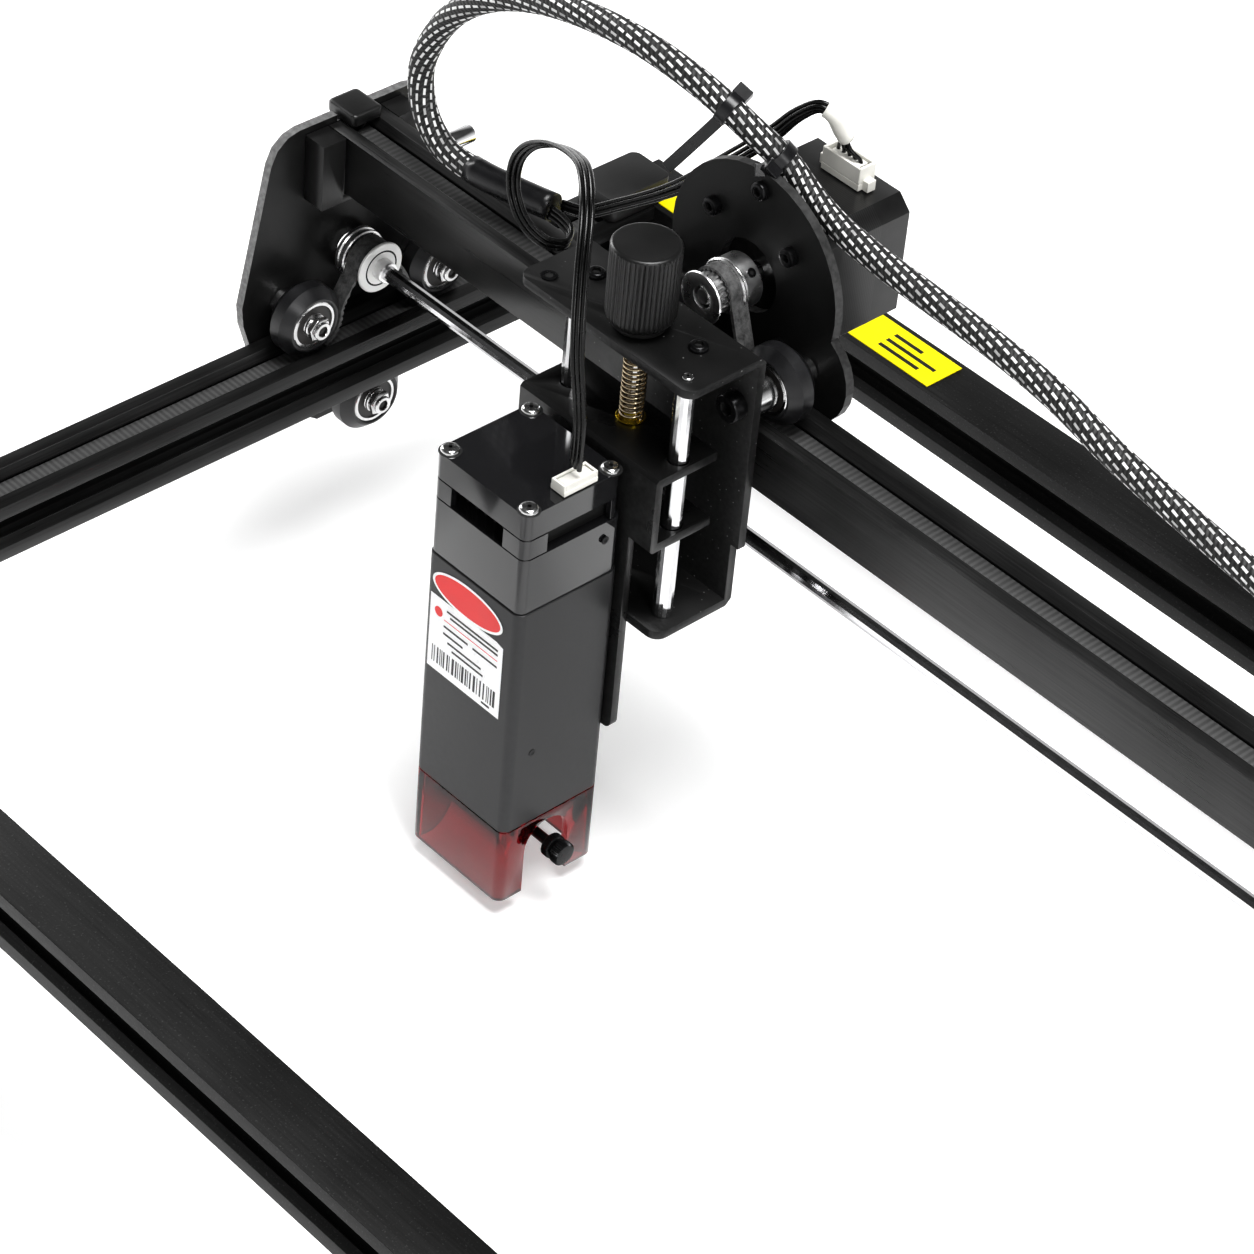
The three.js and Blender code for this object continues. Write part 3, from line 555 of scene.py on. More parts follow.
def belt_loop(name, node, pulley_height, along, body):
    """The belt's climb from its slot, round a pulley and down, in its CAD node's place."""
    low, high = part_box(node)
    i = "xyz".index(along)
    middle = (low[i] + high[i]) / 2
    foot_z = low[2] + 1.0 * MM
    reach = 7.0 * MM
    half = [(19.5, 0.0), (16.8, 1.4), (14.2, 5.4), (12.7, 12.0)]
    path = [Vector((u * MM, foot_z + v * MM)) for u, v in half]
    path += [Vector((reach * math.cos(a), pulley_height + reach * math.sin(a)))
             for a in (math.pi * k / 12 for k in range(13))]
    path += [Vector((-u * MM, foot_z + v * MM)) for u, v in half[::-1]]
    line = smooth_line([(p.x, p.y, 0.0) for p in path], per_span=10)
    outer, inner = [], []
    gone = 0.0
    for k, point in enumerate(line):
        ahead = line[min(k + 1, len(line) - 1)] - line[max(k - 1, 0)]
        out = Vector((ahead.y, -ahead.x, 0)).normalized()
        if k:
            gone += (point - line[k - 1]).length
        tooth = 0.45 if (gone / (2 * MM)) % 1 < 0.5 else -0.1
        outer.append(point + out * 0.65 * MM)
        inner.append(point - out * (0.15 + tooth) * MM)
    outline = [(middle + p.x, p.y) for p in outer + inner[::-1]]
    side = "y" if along == "x" else "x"
    j = "xyz".index(side)
    build = Build()
    rows = []
    for depth in (low[j], high[j]):
        row = []
        for u, v in outline:
            place = [0.0, 0.0, v]
            place[i], place[j] = u, depth
            row.append(build.mesh.verts.new(place))
        rows.append(row)
    count = len(outline)
    half_count = count // 2
    for k in range(half_count - 1):
        far = count - 1 - k
        for row in rows:
            build.faces([(row[k], row[k + 1], row[far - 1], row[far])], 0)
    build.faces([(rows[0][k], rows[1][k], rows[1][(k + 1) % count], rows[0][(k + 1) % count])
                 for k in range(count)], 0)
    return build.done(name, [belt_loop_finish], body, "belt_rubber", instead=[node])


belt_loop_finish = loop_material()
shaft_low, shaft_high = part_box("sync_shaft")
SYNC_Z = (shaft_low[2] + shaft_high[2]) / 2
pulley_low, pulley_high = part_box("x_pulley")
X_PULLEY_Z = (pulley_low[2] + pulley_high[2]) / 2
belt_loop("x_belt_climb", "x_belt_loop", X_PULLEY_Z, "x", "carriage")
for hand in ("left", "right"):
    belt_loop(f"y_belt_climb_{hand}", f"y_belt_loop_{hand}", SYNC_Z, "y", "gantry")

# ---- Gantry end plates ----
# Laser-cut 3 mm aluminium plates, anodised black, whose cut rims are painted lighter than
# their faces as painted light. Each carries three V-wheels on bolts and is screwed to the beam's end.


def sheet_plate(name, thin_axis, base=0.014, rough=0.36, rim=0.22, speck=0.0):
    """Black plate whose faces along one axis are dark and whose other faces, the cut rims, are painted
    lighter as painted light.
    """
    kit = Nodes(name)
    coordinates = kit.add("TexCoord")
    facing = kit.add("SeparateXYZ", {"Vector": coordinates.outputs["Normal"]})
    flat = kit.math("ABSOLUTE", facing.outputs[thin_axis.upper()])
    noise = kit.add("TexNoise", {"Vector": coordinates.outputs["Object"], "Scale": 45.0, "Detail": 4.0})
    fine = kit.add("TexNoise", {"Vector": coordinates.outputs["Object"], "Scale": 650.0, "Detail": 2.0})
    face = kit.ramp(noise.outputs["Fac"], (0.3, grey(base * 0.75)), (0.7, grey(base * 1.4)))
    # The rims' lighter grey is painted light on the cut edges and on any walls that don't face along the thin
    # axis.
    edge = kit.ramp(fine.outputs["Fac"], (0.35, grey(rim * 0.6)), (0.65, grey(rim)))
    rim_light_mask = kit.ramp(flat, (0.35, (1, 1, 1)), (0.6, (0, 0, 0)))
    colour = kit.mix(rim_light_mask, face, edge)
    if speck:
        dust = kit.add("TexVoronoi", {"Vector": coordinates.outputs["Object"], "Scale": 420.0})
        dots = kit.ramp(dust.outputs["Distance"], (0.05, grey(speck)), (0.11, (0, 0, 0)))
        pale = kit.ramp(dust.outputs["Color"], (0.45, (0, 0, 0)), (0.8, (1, 1, 1)))
        shown = kit.math("MULTIPLY", dots, pale)
        colour = kit.mix(shown, colour, grey(0.3))
    kit.bump(fine.outputs["Fac"], 0.08, 0.08 * MM)
    roughness = kit.ramp(noise.outputs["Fac"], (0.3, grey(rough - 0.06)), (0.7, grey(rough + 0.08)))
    return kit.shade(Base_Color=colour, Roughness=roughness, Metallic=0.2, Specular_IOR_Level=0.35)


end_plate_finish = sheet_plate("end_plate", "x")
for hand in ("left", "right"):
    dress(f"gantry_plate_{hand}", end_plate_finish, 0, sharp=25)
cradle_plastic = moulded("cradle_plastic", base=0.009, rough=0.36)
for hand in ("left", "right"):
    dress(f"beam_cradle_{hand}", cradle_plastic, 0.9)
    dress(f"belt_clamp_{hand}", cradle_plastic, 1.4)
polished = plain("polished_steel", (0.72, 0.72, 0.73), 0.13, metallic=1.0, mottle=0.05, scale=250.0)
dress("stop_pin", polished, 0.5)

# ---- V-wheels ----
# Black polycarbonate tyres with a V groove's flanks, each pressed over two steel ball
# bearings with a washer between. A button-head bolt, spacer and nut hold each on its plate.
TYRE, BEARING, SEAL, SHINY = range(4)


def v_wheel(name, node, outward):
    """The wheel in its CAD node's place. outward is the side the bearing's face shows."""
    low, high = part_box(node)
    size = [b - a for a, b in zip(low, high)]
    i = size.index(min(size))
    middle = [(a + b) / 2 for a, b in zip(low, high)]
    axis = [0.0, 0.0, 0.0]
    axis[i] = outward
    r = max(size) / 2
    half = min(size) / 2
    wheel = Build()
    flank = 2.9 * MM
    tyre = [(8.1 * MM, -half + 0.3 * MM), (8.5 * MM, -half), (r - flank, -half),
            (r - 0.35 * MM, -half + flank - 0.2 * MM), (r, -half + flank + 0.2 * MM),
            (r, half - flank - 0.2 * MM), (r - 0.35 * MM, half - flank + 0.2 * MM),
            (r - flank, half), (8.5 * MM, half), (8.1 * MM, half - 0.3 * MM)]
    wheel.turned(tyre, middle, axis, 72, TYRE, closed=True)
    face = half - 0.25 * MM
    outer_race = [(7.95, -face), (8.05, face - 0.2 * MM), (7.75, face), (6.9, face), (6.75,
        face - 0.3 * MM),
                  (6.7, -face)]
    wheel.turned([(a * MM, h) for a, h in outer_race], middle, axis, 60, BEARING, closed=True)
    wheel.turned([(6.7 * MM, face - 0.5 * MM), (4.1 * MM, face - 0.4 * MM)], middle, axis, 60, SEAL)
    wheel.turned([(4.1 * MM, -face + 0.4 * MM), (6.7 * MM, -face + 0.5 * MM)], middle, axis, 60, SEAL)
    inner_race = [(4.1, -face), (4.1, face - 0.25 * MM), (3.9, face), (2.9, face), (2.75, face - 0.25 * MM),
                  (2.7, -face)]
    wheel.turned([(a * MM, h) for a, h in inner_race], middle, axis, 48, BEARING, closed=True)
    body = node + "_body"
    return wheel.done(f"{node}_piece", [tyre_black, race_steel, seal_black_and_hole_shade], body, "wheel_tyre",
                      sharp=28, instead=[node])


tyre_black = plain("tyre_black", (0.012, 0.012, 0.013), 0.33, mottle=0.25, scale=180.0)
race_steel = plain("race_steel", (0.62, 0.62, 0.62), 0.16, metallic=1.0, mottle=0.1, scale=300.0)
# The seals' black; it also lines the bolt tips' hollows as painted shade.
seal_black_and_hole_shade = plain("seal_black_and_hole_shade", (0.02, 0.018, 0.017), 0.45, mottle=0.3, scale=200.0)
for hand, outward in (("left", 1), ("right", -1)):
    for place in ("front", "rear", "lower"):
        v_wheel(f"y_wheel_{hand}_{place}", f"y_wheel_{hand}_{place}", outward)
for place in ("left", "right", "lower"):
    v_wheel(f"x_wheel_{place}", f"x_wheel_{place}", -1)


def bolt_end(name, start, axis, body, reach):
    """A wheel's bright bolt end: a stepped bush on the bearing, a nut and a hollow tip lined near-black as
    painted shade.
    """
    work = Build()
    way = Vector(axis).normalized()
    bush = [(2.7, -0.3), (4.0, -0.2), (4.0, 0.5), (3.7, 0.8), (3.0, 0.9)]
    work.turned([(a * MM, h * MM) for a, h in bush], start, way, 40, 0)
    nut = [(2.9, 0.9), (3.9, 0.9), (4.15, 1.3), (4.15, 0.5 + reach * 0.7), (3.8, 0.7 + reach * 0.75),
           (3.1, 0.8 + reach * 0.8)]
    work.turned([(a * MM, h * MM) for a, h in nut], start, way, 6, 0)
    tip = [(3.0, 0.6 + reach * 0.7), (3.0, 0.9 + reach), (2.8, 1.15 + reach), (1.9, 1.2 + reach),
           (1.7, 1.0 + reach)]
    work.turned([(a * MM, h * MM) for a, h in tip], start, way, 40, 0)
    # The tip's hollow takes the seals' black: painted shade inside it.
    work.turned([(1.7 * MM, (1.0 + reach) * MM), (1.7 * MM, reach * 0.4 * MM), (0.0, reach * 0.4 * MM)],
                start, way, 6, 1)
    work.done(name, [race_steel, seal_black_and_hole_shade], body, "bright_steel", sharp=30)


def spacer(name, near, far, radius, body):
    """A turned bright spacer between a wheel and its plate."""
    near, far = Vector(near), Vector(far)
    long = (far - near).length / MM
    work = Build()
    ring = [(2.6, 0.05), (radius - 0.3, 0.05), (radius, 0.35), (radius, long - 0.35), (radius - 0.3,
        long - 0.05),
            (2.6, long - 0.05)]
    work.turned([(a * MM, h * MM) for a, h in ring], near, far - near, 44, 0, closed=True)
    work.done(name, [race_steel], body, "bright_steel", sharp=30)


PLATE_FACE = 281 * MM
for hand, outward in (("left", 1), ("right", -1)):
    inner_face = -outward * PLATE_FACE
    for place in ("front", "rear", "lower"):
        low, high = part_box(f"y_wheel_{hand}_{place}")
        middle = [(a + b) / 2 for a, b in zip(low, high)]
        near, far = (low[0], high[0]) if outward > 0 else (high[0], low[0])
        bolt_end(f"wheel_nut_{hand}_{place}", (far, middle[1], middle[2]), (outward, 0, 0), "gantry", 2.9)
        spacer(f"wheel_spacer_{hand}_{place}", (inner_face, middle[1], middle[2]), (near, middle[1],
            middle[2]),
               5.0, "gantry")
for place in ("left", "right", "lower"):
    low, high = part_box(f"x_wheel_{place}")
    x, z = (low[0] + high[0]) / 2, (low[2] + high[2]) / 2
    plate_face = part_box("motor_plate")[1][1] - 3 * MM
    spacer(f"x_wheel_spacer_{place}", (x, high[1], z), (x, plate_face, z), 5.0, "carriage")
    if place != "lower":
        bracket_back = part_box("z_bracket")[1][1]
        spacer(f"x_wheel_bush_{place}", (x, bracket_back, z), (x, low[1], z), 5.6, "carriage")
    else:
        bolt_end("x_wheel_nut_lower", (x, low[1], z), (0, -1, 0), "carriage", 2.2)


# ---- Screws ----
# Steel M3 and M5 screws with black oxide or bright zinc on them, driven by a hex key or by
# a cross-head driver, hold every plate, motor and block.
HEX, CROSS = "hex", "cross"
black_oxide = plain("black_oxide", (0.02, 0.02, 0.021), 0.3, metallic=0.8, mottle=0.2, scale=250.0)
bright_zinc = plain("bright_zinc", (0.66, 0.66, 0.66), 0.2, metallic=1.0, mottle=0.08, scale=250.0)


def screw(name, at_point, axis, radius, height, body, finish, style="hex", dome=0.0, slot="bright_steel"):
    """A screw's head standing on at_point, with its socket painted near-black as shade; dome rounds the top.
    """
    work = Build()
    point = Vector(at_point)
    way = Vector(axis).normalized()
    socket = radius * 0.52
    rim = radius * (0.62 if dome else 0.93)
    edge = height - dome
    profile = [(radius * 0.98, -0.05), (radius, max(edge * 0.3, 0.1)), (radius, edge * 0.9)]
    if dome:
        for k in range(1, 5):
            a = math.pi / 2 * k / 5
            profile.append((rim + (radius - rim) * math.cos(a), edge + dome * math.sin(a)))
    profile += [(rim, height), (socket * 1.08, height)]
    if style == HEX:
        work.turned([(a * MM, h * MM) for a, h in profile], point, way, 48, 0)
        # The socket's inside is near-black: painted shade in the hole.
        hole = [(socket * 1.08, height), (socket, height - 0.12), (socket * 0.98, height * 0.35), (0,
            height * 0.3)]
        work.turned([(a * MM, h * MM) for a, h in hole], point, way, 6, 1)
        ring = [(socket * 1.1, height + 0.002), (socket * 0.93, height - 0.02)]
        work.turned([(a * MM, h * MM) for a, h in ring], point, way, 48, 0)
    else:
        cap = profile[:-1] + [(0.0, height)]
        work.turned([(a * MM, h * MM) for a, h in cap], point, way, 40, 0)
        across = way.orthogonal().normalized()
        other = way.cross(across)
        arm, width = radius * 0.6 * MM, radius * 0.17 * MM
        top = point + way * (height + 0.03) * MM
        # The cross recess is two flat near-black bars on the head: painted shade where the recess would be.
        for u, v in ((across, other), (other, across)):
            corners = [(u * arm + v * width), (-u * arm + v * width), (-u * arm - v * width),
                       (u * arm - v * width)]
            ring_here = [work.mesh.verts.new(top + c) for c in corners]
            work.faces([ring_here], 1)
    work.done(name, [finish, recess_painted_shade], body, slot, sharp=35)


# Near-black for painted shade in screw sockets, in cross recesses and round the cap screws.
recess_painted_shade = plain("recess_painted_shade", (0.006, 0.006, 0.006), 0.6)
end_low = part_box("gantry_plate_left")[0]
for hand, way in (("left", -1), ("right", 1)):
    low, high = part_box(f"gantry_plate_{hand}")
    outer_x = (end_low[0] + 2.5 * MM) if way < 0 else -(end_low[0] + 2.5 * MM)
    for k, (dy, dz) in enumerate(((5, -5), (15, -5), (5, -15), (15, -15))):
        point = (outer_x, BEAM_FRONT + dy * MM, BEAM_TOP + dz * MM)
        screw(f"beam_screw_{hand}_{k}", point, (way, 0, 0), 4.2, 2.4, "gantry", black_oxide, dome=1.4)

# ---- Synchronising shaft ----
# A 5 mm steel shaft across the machine drives both Y belts at once. It carries a toothed
# aluminium pulley at each end, with a pale guide flange, and a black coupling at the motor.


def toothed(count, depth):
    """A wave that raises count teeth round a turned part."""
    return lambda turn, height: depth * MM * (1 if (turn * count / (2 * math.pi)) % 1 < 0.5 else -1)


pulley_silver = plain("pulley_silver", (0.86, 0.86, 0.86), 0.3, metallic=1.0, mottle=0.05, scale=300.0)
pale_flange = plain("pale_flange", (0.74, 0.74, 0.73), 0.32, metallic=0.15, mottle=0.05, scale=120.0)
dress("sync_shaft", polished, 0.0)
for hand, way in (("left", 1), ("right", -1)):
    low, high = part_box(f"sync_pulley_{hand}")
    base_x = low[0] if way > 0 else high[0]
    middle = (base_x, (low[1] + high[1]) / 2, (low[2] + high[2]) / 2)
    axis = (way, 0, 0)
    pulley = Build()
    back = [(2.6, 0.0), (5.2, 0.0), (5.2, 1.0), (7.6, 1.1), (8.3, 1.5), (8.3, 2.6), (7.9, 3.0), (7.9, 3.7),
            (8.3, 4.0), (8.3, 5.0), (7.9, 5.3), (5.9, 5.4)]
    pulley.turned([(a * MM, h * MM) for a, h in back], middle, axis, 64, 0)
    pulley.turned([(5.9 * MM, 5.4 * MM), (5.9 * MM, 12.6 * MM)], middle, axis, 160, 0, wave=toothed(20,
        0.35))
    front = [(5.9, 12.6), (8.3, 12.7), (8.6, 12.9), (8.6, 13.5), (8.3, 13.8), (6.2, 13.9)]
    pulley.turned([(a * MM, h * MM) for a, h in front], middle, axis, 64, 1)
    ring = [(6.2, 13.9), (6.1, 13.75), (5.7, 13.75), (5.6, 13.9)]
    pulley.turned([(a * MM, h * MM) for a, h in ring], middle, axis, 64, 2)
    pulley.turned([(5.6 * MM, 13.9 * MM), (3.6 * MM, 13.95 * MM)], middle, axis, 64, 1)
    hub = [(3.6, 13.95), (3.6, 17.2), (3.3, 17.6), (2.5, 17.6)]
    pulley.turned([(a * MM, h * MM) for a, h in hub], middle, axis, 48, 0)
    pulley.done(f"sync_pulley_{hand}_piece", [pulley_silver, pale_flange, black_oxide], "sync_line",
                "pulley_metal", sharp=30, instead=[f"sync_pulley_{hand}"])

# ---- Y motor ----
# A square stepping motor with laminated black sides on a folded bracket under the beam's
# right end. Its shaft drives the long shaft through the coupling.


def motor_finish(name, middle_z, axis, half_stack):
    """Black enamel end bells over the darker edges of a stack of steel laminations."""
    kit = Nodes(name)
    place = kit.add("TexCoord").outputs["Object"]
    along = kit.add("SeparateXYZ", {"Vector": place}).outputs[axis.upper()]
    from_middle = kit.math("ABSOLUTE", kit.math("SUBTRACT", along, middle_z))
    in_stack = kit.math("LESS_THAN", from_middle, half_stack)
    layers = kit.add("TexWave", {"Vector": place, "Scale": 420.0}, bands_direction=axis.upper())
    fine = kit.add("TexNoise", {"Vector": place, "Scale": 120.0, "Detail": 4.0})
    stack = kit.ramp(layers.outputs["Fac"], (0.2, grey(0.014)), (0.8, grey(0.024)))
    enamel = kit.ramp(fine.outputs["Fac"], (0.3, grey(0.008)), (0.7, grey(0.018)))
    kit.bump(kit.math("MULTIPLY", layers.outputs["Fac"], in_stack), 0.06, 0.05 * MM)
    return kit.shade(Base_Color=kit.mix(in_stack, enamel, stack), Roughness=0.3, Metallic=0.3)


y_motor_low, y_motor_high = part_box("y_motor")
dress("y_motor", motor_finish("y_motor_case", (y_motor_low[0] + y_motor_high[0]) / 2, "x", 8 * MM), 0.5)
# Its faces that don't face along x take the plates' lighter rim grey: painted light.
dress("y_motor_bracket", end_plate_finish, 0.4)

# ---- Control box ----
# A small moulded black box for the main board, with its sockets behind, is screwed to the
# rear of the beam at the right. The cable sleeve starts from its lid.
dress("control_box", moulded("box_plastic", base=0.02, rough=0.5), 1.0)

# ---- Motor plate ----
# The carriage's upright back plate: 3 mm aluminium, anodised satin black. It carries the
# three V-wheels and the motor, whose shaft comes forward through its bore.
# Its cut rims are painted a little lighter than its faces: painted light.
motor_plate_finish = sheet_plate("motor_plate", "y", base=0.010, rough=0.42, rim=0.06)
dress("motor_plate", motor_plate_finish, 0.0, sharp=40)
for k, (x, z) in enumerate(((-15.5, 42.9), (15.5, 42.9), (-15.5, 11.9), (15.5, 11.9))):
    screw(f"motor_screw_{k}", at(x, 20.6, z), (0, -1, 0), 2.8, 2.6, "carriage", black_oxide, dome=0.4)
screw("plate_screw_top", at(1.7, 20.6, 57.2), (0, -1, 0), 2.8, 2.2, "carriage", black_oxide, dome=0.8)

# ---- X motor ----
# The carriage's stepping motor, black with bevelled corners, stands behind its plate. Its
# lead plugs into a white six-way socket on top.
x_motor_low, x_motor_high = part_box("x_motor")
dress("x_motor", motor_finish("x_motor_case", (x_motor_low[1] + x_motor_high[1]) / 2, "y", 7.5 * MM), 0.5)
nylon = plain("white_nylon", (0.78, 0.77, 0.72), 0.38, mottle=0.05, scale=90.0)
socket_low, socket_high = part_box("x_motor_socket")
socket = Build()
wall = 0.9 * MM
inside_top = socket_high[2]
floor_z = socket_low[2] + 2.2 * MM
outline = [(socket_low[0], socket_low[1]), (socket_high[0], socket_low[1]), (socket_high[0],
    socket_high[1]), (socket_low[0], socket_high[1])]
hollow = [(socket_low[0] + wall, socket_low[1] + wall), (socket_high[0] - wall, socket_low[1] + wall),
          (socket_high[0] - wall, socket_high[1] - wall), (socket_low[0] + wall, socket_high[1] - wall)]
socket.prism(outline, socket_low[2], floor_z, "z", 0)
for k in range(4):
    n = (k + 1) % 4
    socket.prism([outline[k], outline[n], hollow[n], hollow[k]], floor_z, inside_top, "z", 0)
pin_y = (socket_low[1] + socket_high[1]) / 2
for k in range(6):
    pin_x = socket_low[0] + wall + (0.9 + 2.2 * k) * MM
    socket.box((pin_x, pin_y - 0.3 * MM, floor_z), (pin_x + 0.6 * MM, pin_y + 0.3 * MM, floor_z + 4.6 * MM),
               1)
for x in (socket_low[0] - 2.2 * MM, socket_high[0] - 0.2 * MM):
    socket.box((x, pin_y - 1.6 * MM, socket_low[2]), (x + 2.4 * MM, pin_y + 1.6 * MM,
                                                      socket_low[2] + 3.4 * MM), 0)
socket.done("motor_socket_piece", [nylon, bright_zinc], "carriage", "white_nylon", bevel=0.25,
            instead=["x_motor_socket"])
plug_middle = carriage_point(2.5, 54.15, 0)
plug = Build()
plug.prism(rounded(plug_middle.x - 5.6 * MM, plug_middle.x + 5.6 * MM, plug_middle.y - 1.9 * MM,
                   plug_middle.y + 1.9 * MM, 0.5 * MM), floor_z + 0.6 * MM, socket_high[2] - 0.6 * MM, "z", 0)
plug.done("motor_plug", [nylon], "carriage", "white_nylon", bevel=0.3)

# ---- X pulley ----
# A bright turned pulley on the motor's shaft, with a thin flange in front, a ground tooth
# form, and a hub with a grub screw behind. Both belt ends fall steeply from it.
pulley_low, pulley_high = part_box("x_pulley")
front_y = pulley_low[1]
axis_point = (CARRIAGE_X, front_y, X_PULLEY_Z)
x_pulley = Build()
front_flange = [(3.2, 2.6), (3.4, 0.6), (4.3, 0.2), (6.8, 0.0), (7.8, 0.15), (8.0, 0.6), (7.7, 1.1), (6.1,
    1.3)]
x_pulley.turned([(a * MM, h * MM) for a, h in front_flange], axis_point, (0, 1, 0), 72, 0)
x_pulley.turned([(6.0 * MM, 1.3 * MM), (6.0 * MM, 8.9 * MM)], axis_point, (0, 1, 0), 160, 0,
                wave=toothed(20, 0.35))
rear_flange = [(6.1, 8.9), (8.2, 9.1), (8.6, 9.6), (8.3, 10.2), (7.8, 10.5)]
x_pulley.turned([(a * MM, h * MM) for a, h in rear_flange], axis_point, (0, 1, 0), 72, 0)
hub = [(7.8, 10.5), (8.2, 10.9), (8.2, 16.4), (7.8, 16.9), (2.6, 17.0)]
x_pulley.turned([(a * MM, h * MM) for a, h in hub], axis_point, (0, 1, 0), 64, 0)
shaft_end = [(2.5, 26.0), (2.5, 1.5), (2.2, 1.1), (0.0, 1.1)]
x_pulley.turned([(a * MM, h * MM) for a, h in shaft_end], axis_point, (0, 1, 0), 40, 0)
x_pulley.done("x_pulley_piece", [pulley_silver], "drive_pulley", "pulley_metal", sharp=30,
              instead=["x_pulley"])
grub = (CARRIAGE_X + 5.5 * MM, front_y + 13.8 * MM, X_PULLEY_Z + 5.95 * MM)
screw("pulley_grub_screw", grub, (0.68, 0, 0.74), 1.4, 0.4, "drive_pulley", black_oxide)

# ---- Z bracket ----
# One folded sheet, powder-coated in fine black sand, stands in front of the carriage. Its
# top and foot hold the guide rods; its back is bolted across the wheels' axles.
# Its upright walls take the slightly lighter rim colour: painted light on the sides.
sand_black = sheet_plate("sand_black", "z", base=0.008, rough=0.45, rim=0.02, speck=1.0)
dress("z_bracket", sand_black, 0.45)
for k, (x, y) in enumerate(((-24, -15.5), (18.5, -16))):
    screw(f"bracket_button_{k}", at(x, y, 29), (0, 0, 1), 2.9, 1.7, "carriage", black_oxide, dome=1.3)
screw("bracket_small_screw", at(26.7, -27.6, 29), (0, 0, 1), 1.7, 0.8, "carriage", bright_zinc, CROSS,
      dome=0.5)
screw("bracket_set_screw", at(-31.5, -26.5, 29), (0, 0, 1), 2.5, 0.35, "carriage", black_oxide)
for hand, x in (("left", -26), ("right", 26)):
    screw(f"axle_bolt_{hand}", at(x, -6.0, 10), (0, -1, 0), 4.3, 4.4, "carriage", black_oxide)

# ---- Guide rods ----
# Two ground and chromed 6 mm rods, pressed into the bracket's foot and top. The slide
# block runs up and down them.
for hand in ("left", "right"):
    dress(f"guide_rod_{hand}", polished, 0.0)

# ---- Height screw and knob ----
# A moulded black knob with a ribbed grip and a flared foot turns the lead screw, which
# lifts the slide block. A bright spring round the screw takes up the play.
knob_low, knob_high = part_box("height_knob")
KNOB_X = (knob_low[0] + knob_high[0]) / 2
KNOB_Y = (knob_low[1] + knob_high[1]) / 2


def ribs(count, depth, low, high):
    """A wave of rounded ribs round a turned part, between two heights."""
    return lambda turn, height: (
        depth * MM * (abs(math.sin(turn * count / 2)) - 1) if low * MM < height < high * MM else 0.0)


knob = Build()
knob_profile = [(2.6, 0.0), (7.4, 0.0), (8.0, 0.6), (8.0, 1.6), (8.7, 2.4), (9.7, 3.4), (10.1, 4.4), (10.2,
    5.4)]
knob_profile += [(10.2, 5.4 + 1.1 * k) for k in range(1, 19)]
knob_profile += [(10.2, 25.9), (10.1, 26.5), (9.7, 27.0), (9.2, 27.2), (8.7, 27.15), (0.0, 27.15)]
knob.turned([(a * MM, h * MM) for a, h in knob_profile], (KNOB_X, KNOB_Y, knob_low[2]), (0, 0, 1), 336, 0,
            wave=ribs(44, 0.5, 3.2, 26.2))
knob.done("height_knob_piece", [moulded("knob_plastic", base=0.01, rough=0.34, scale=300.0, strength=0.08)],
          "height_knob_body", "knob_plastic", sharp=40, instead=["height_knob"])
dress("height_screw", polished, 0.0)


def helix(name, node, wire_radius, turns, finish):
    """A coil spring in its CAD node's place."""
    low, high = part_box(node)
    middle = Vector(((low[0] + high[0]) / 2, (low[1] + high[1]) / 2, 0))
    reach = (high[0] - low[0]) / 2 - wire_radius
    steps = 26
    line = []
    for k in range(turns * steps + 1):
        turn = 2 * math.pi * k / steps
        share = k / (turns * steps)
        rise = low[2] + wire_radius + (high[2] - low[2] - 2 * wire_radius) * share
        line.append(middle + Vector((reach * math.cos(turn), reach * math.sin(turn), rise)))
    spring = strands(name, line, wire_radius, 8)
    spring.data.materials.append(finish)
    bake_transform(spring)
    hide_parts(node)


spring_steel = plain("spring_steel", (0.62, 0.52, 0.36), 0.2, metallic=1.0, mottle=0.15, scale=400.0)
helix("slide_spring_piece", "slide_spring", 0.42 * MM, 17, spring_steel)
brass = plain("brass", (0.72, 0.52, 0.04), 0.22, metallic=1.0, mottle=0.1, scale=200.0)
block_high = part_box("slide_block")[1]
nut = Build()
spring_low, spring_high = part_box("slide_spring")
nut_ring = [(2.0, 0.02), (4.3, 0.02), (4.4, 0.15), (4.4, 0.55), (4.2, 0.7), (2.0, 0.7)]
spring_foot = ((spring_low[0] + spring_high[0]) / 2, (spring_low[1] + spring_high[1]) / 2,
               block_high[2] - 0.05 * MM)
nut.turned([(a * MM, h * MM) for a, h in nut_ring], spring_foot, (0, 0, 1), 48, 0, closed=True)
nut.done("brass_nut", [brass], "laser_head", "bright_steel")

# ---- Slide block and module backing ----
# A folded black channel on the two rods, with a flat backing plate hanging from it. The
# laser module is screwed to the plate.
# Its upright walls are painted slightly lighter than its top and foot: painted light.
dress("slide_block", sheet_plate("slide_block", "z", base=0.008, rough=0.3, rim=0.02), 0.4)

# ---- Laser module ----
# A gloss moulded head of three bands, with cooling slots between the upper two, stands on
# a satin black aluminium case with heat-sink fins inside. Four screws hold the head.
cap_low, cap_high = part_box("module_cap")
case_low, case_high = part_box("module_body")
SLOT_TOP = cap_low[2]
SLOT_BASE = SLOT_TOP - 7.0 * MM
SEAM = carriage_point(0, 0, -40.4).z
HEAD_BACK = cap_high[1]
CORNER = 3.0 * MM


def head_outline(inset, back=None):
    """The module's outline with its round corners, pulled in by inset."""
    low, high = cap_low, case_high
    return rounded(low[0] + inset, high[0] - inset, low[1] + inset, (back or HEAD_BACK) - inset,
                   max(CORNER - inset, 0.4 * MM))


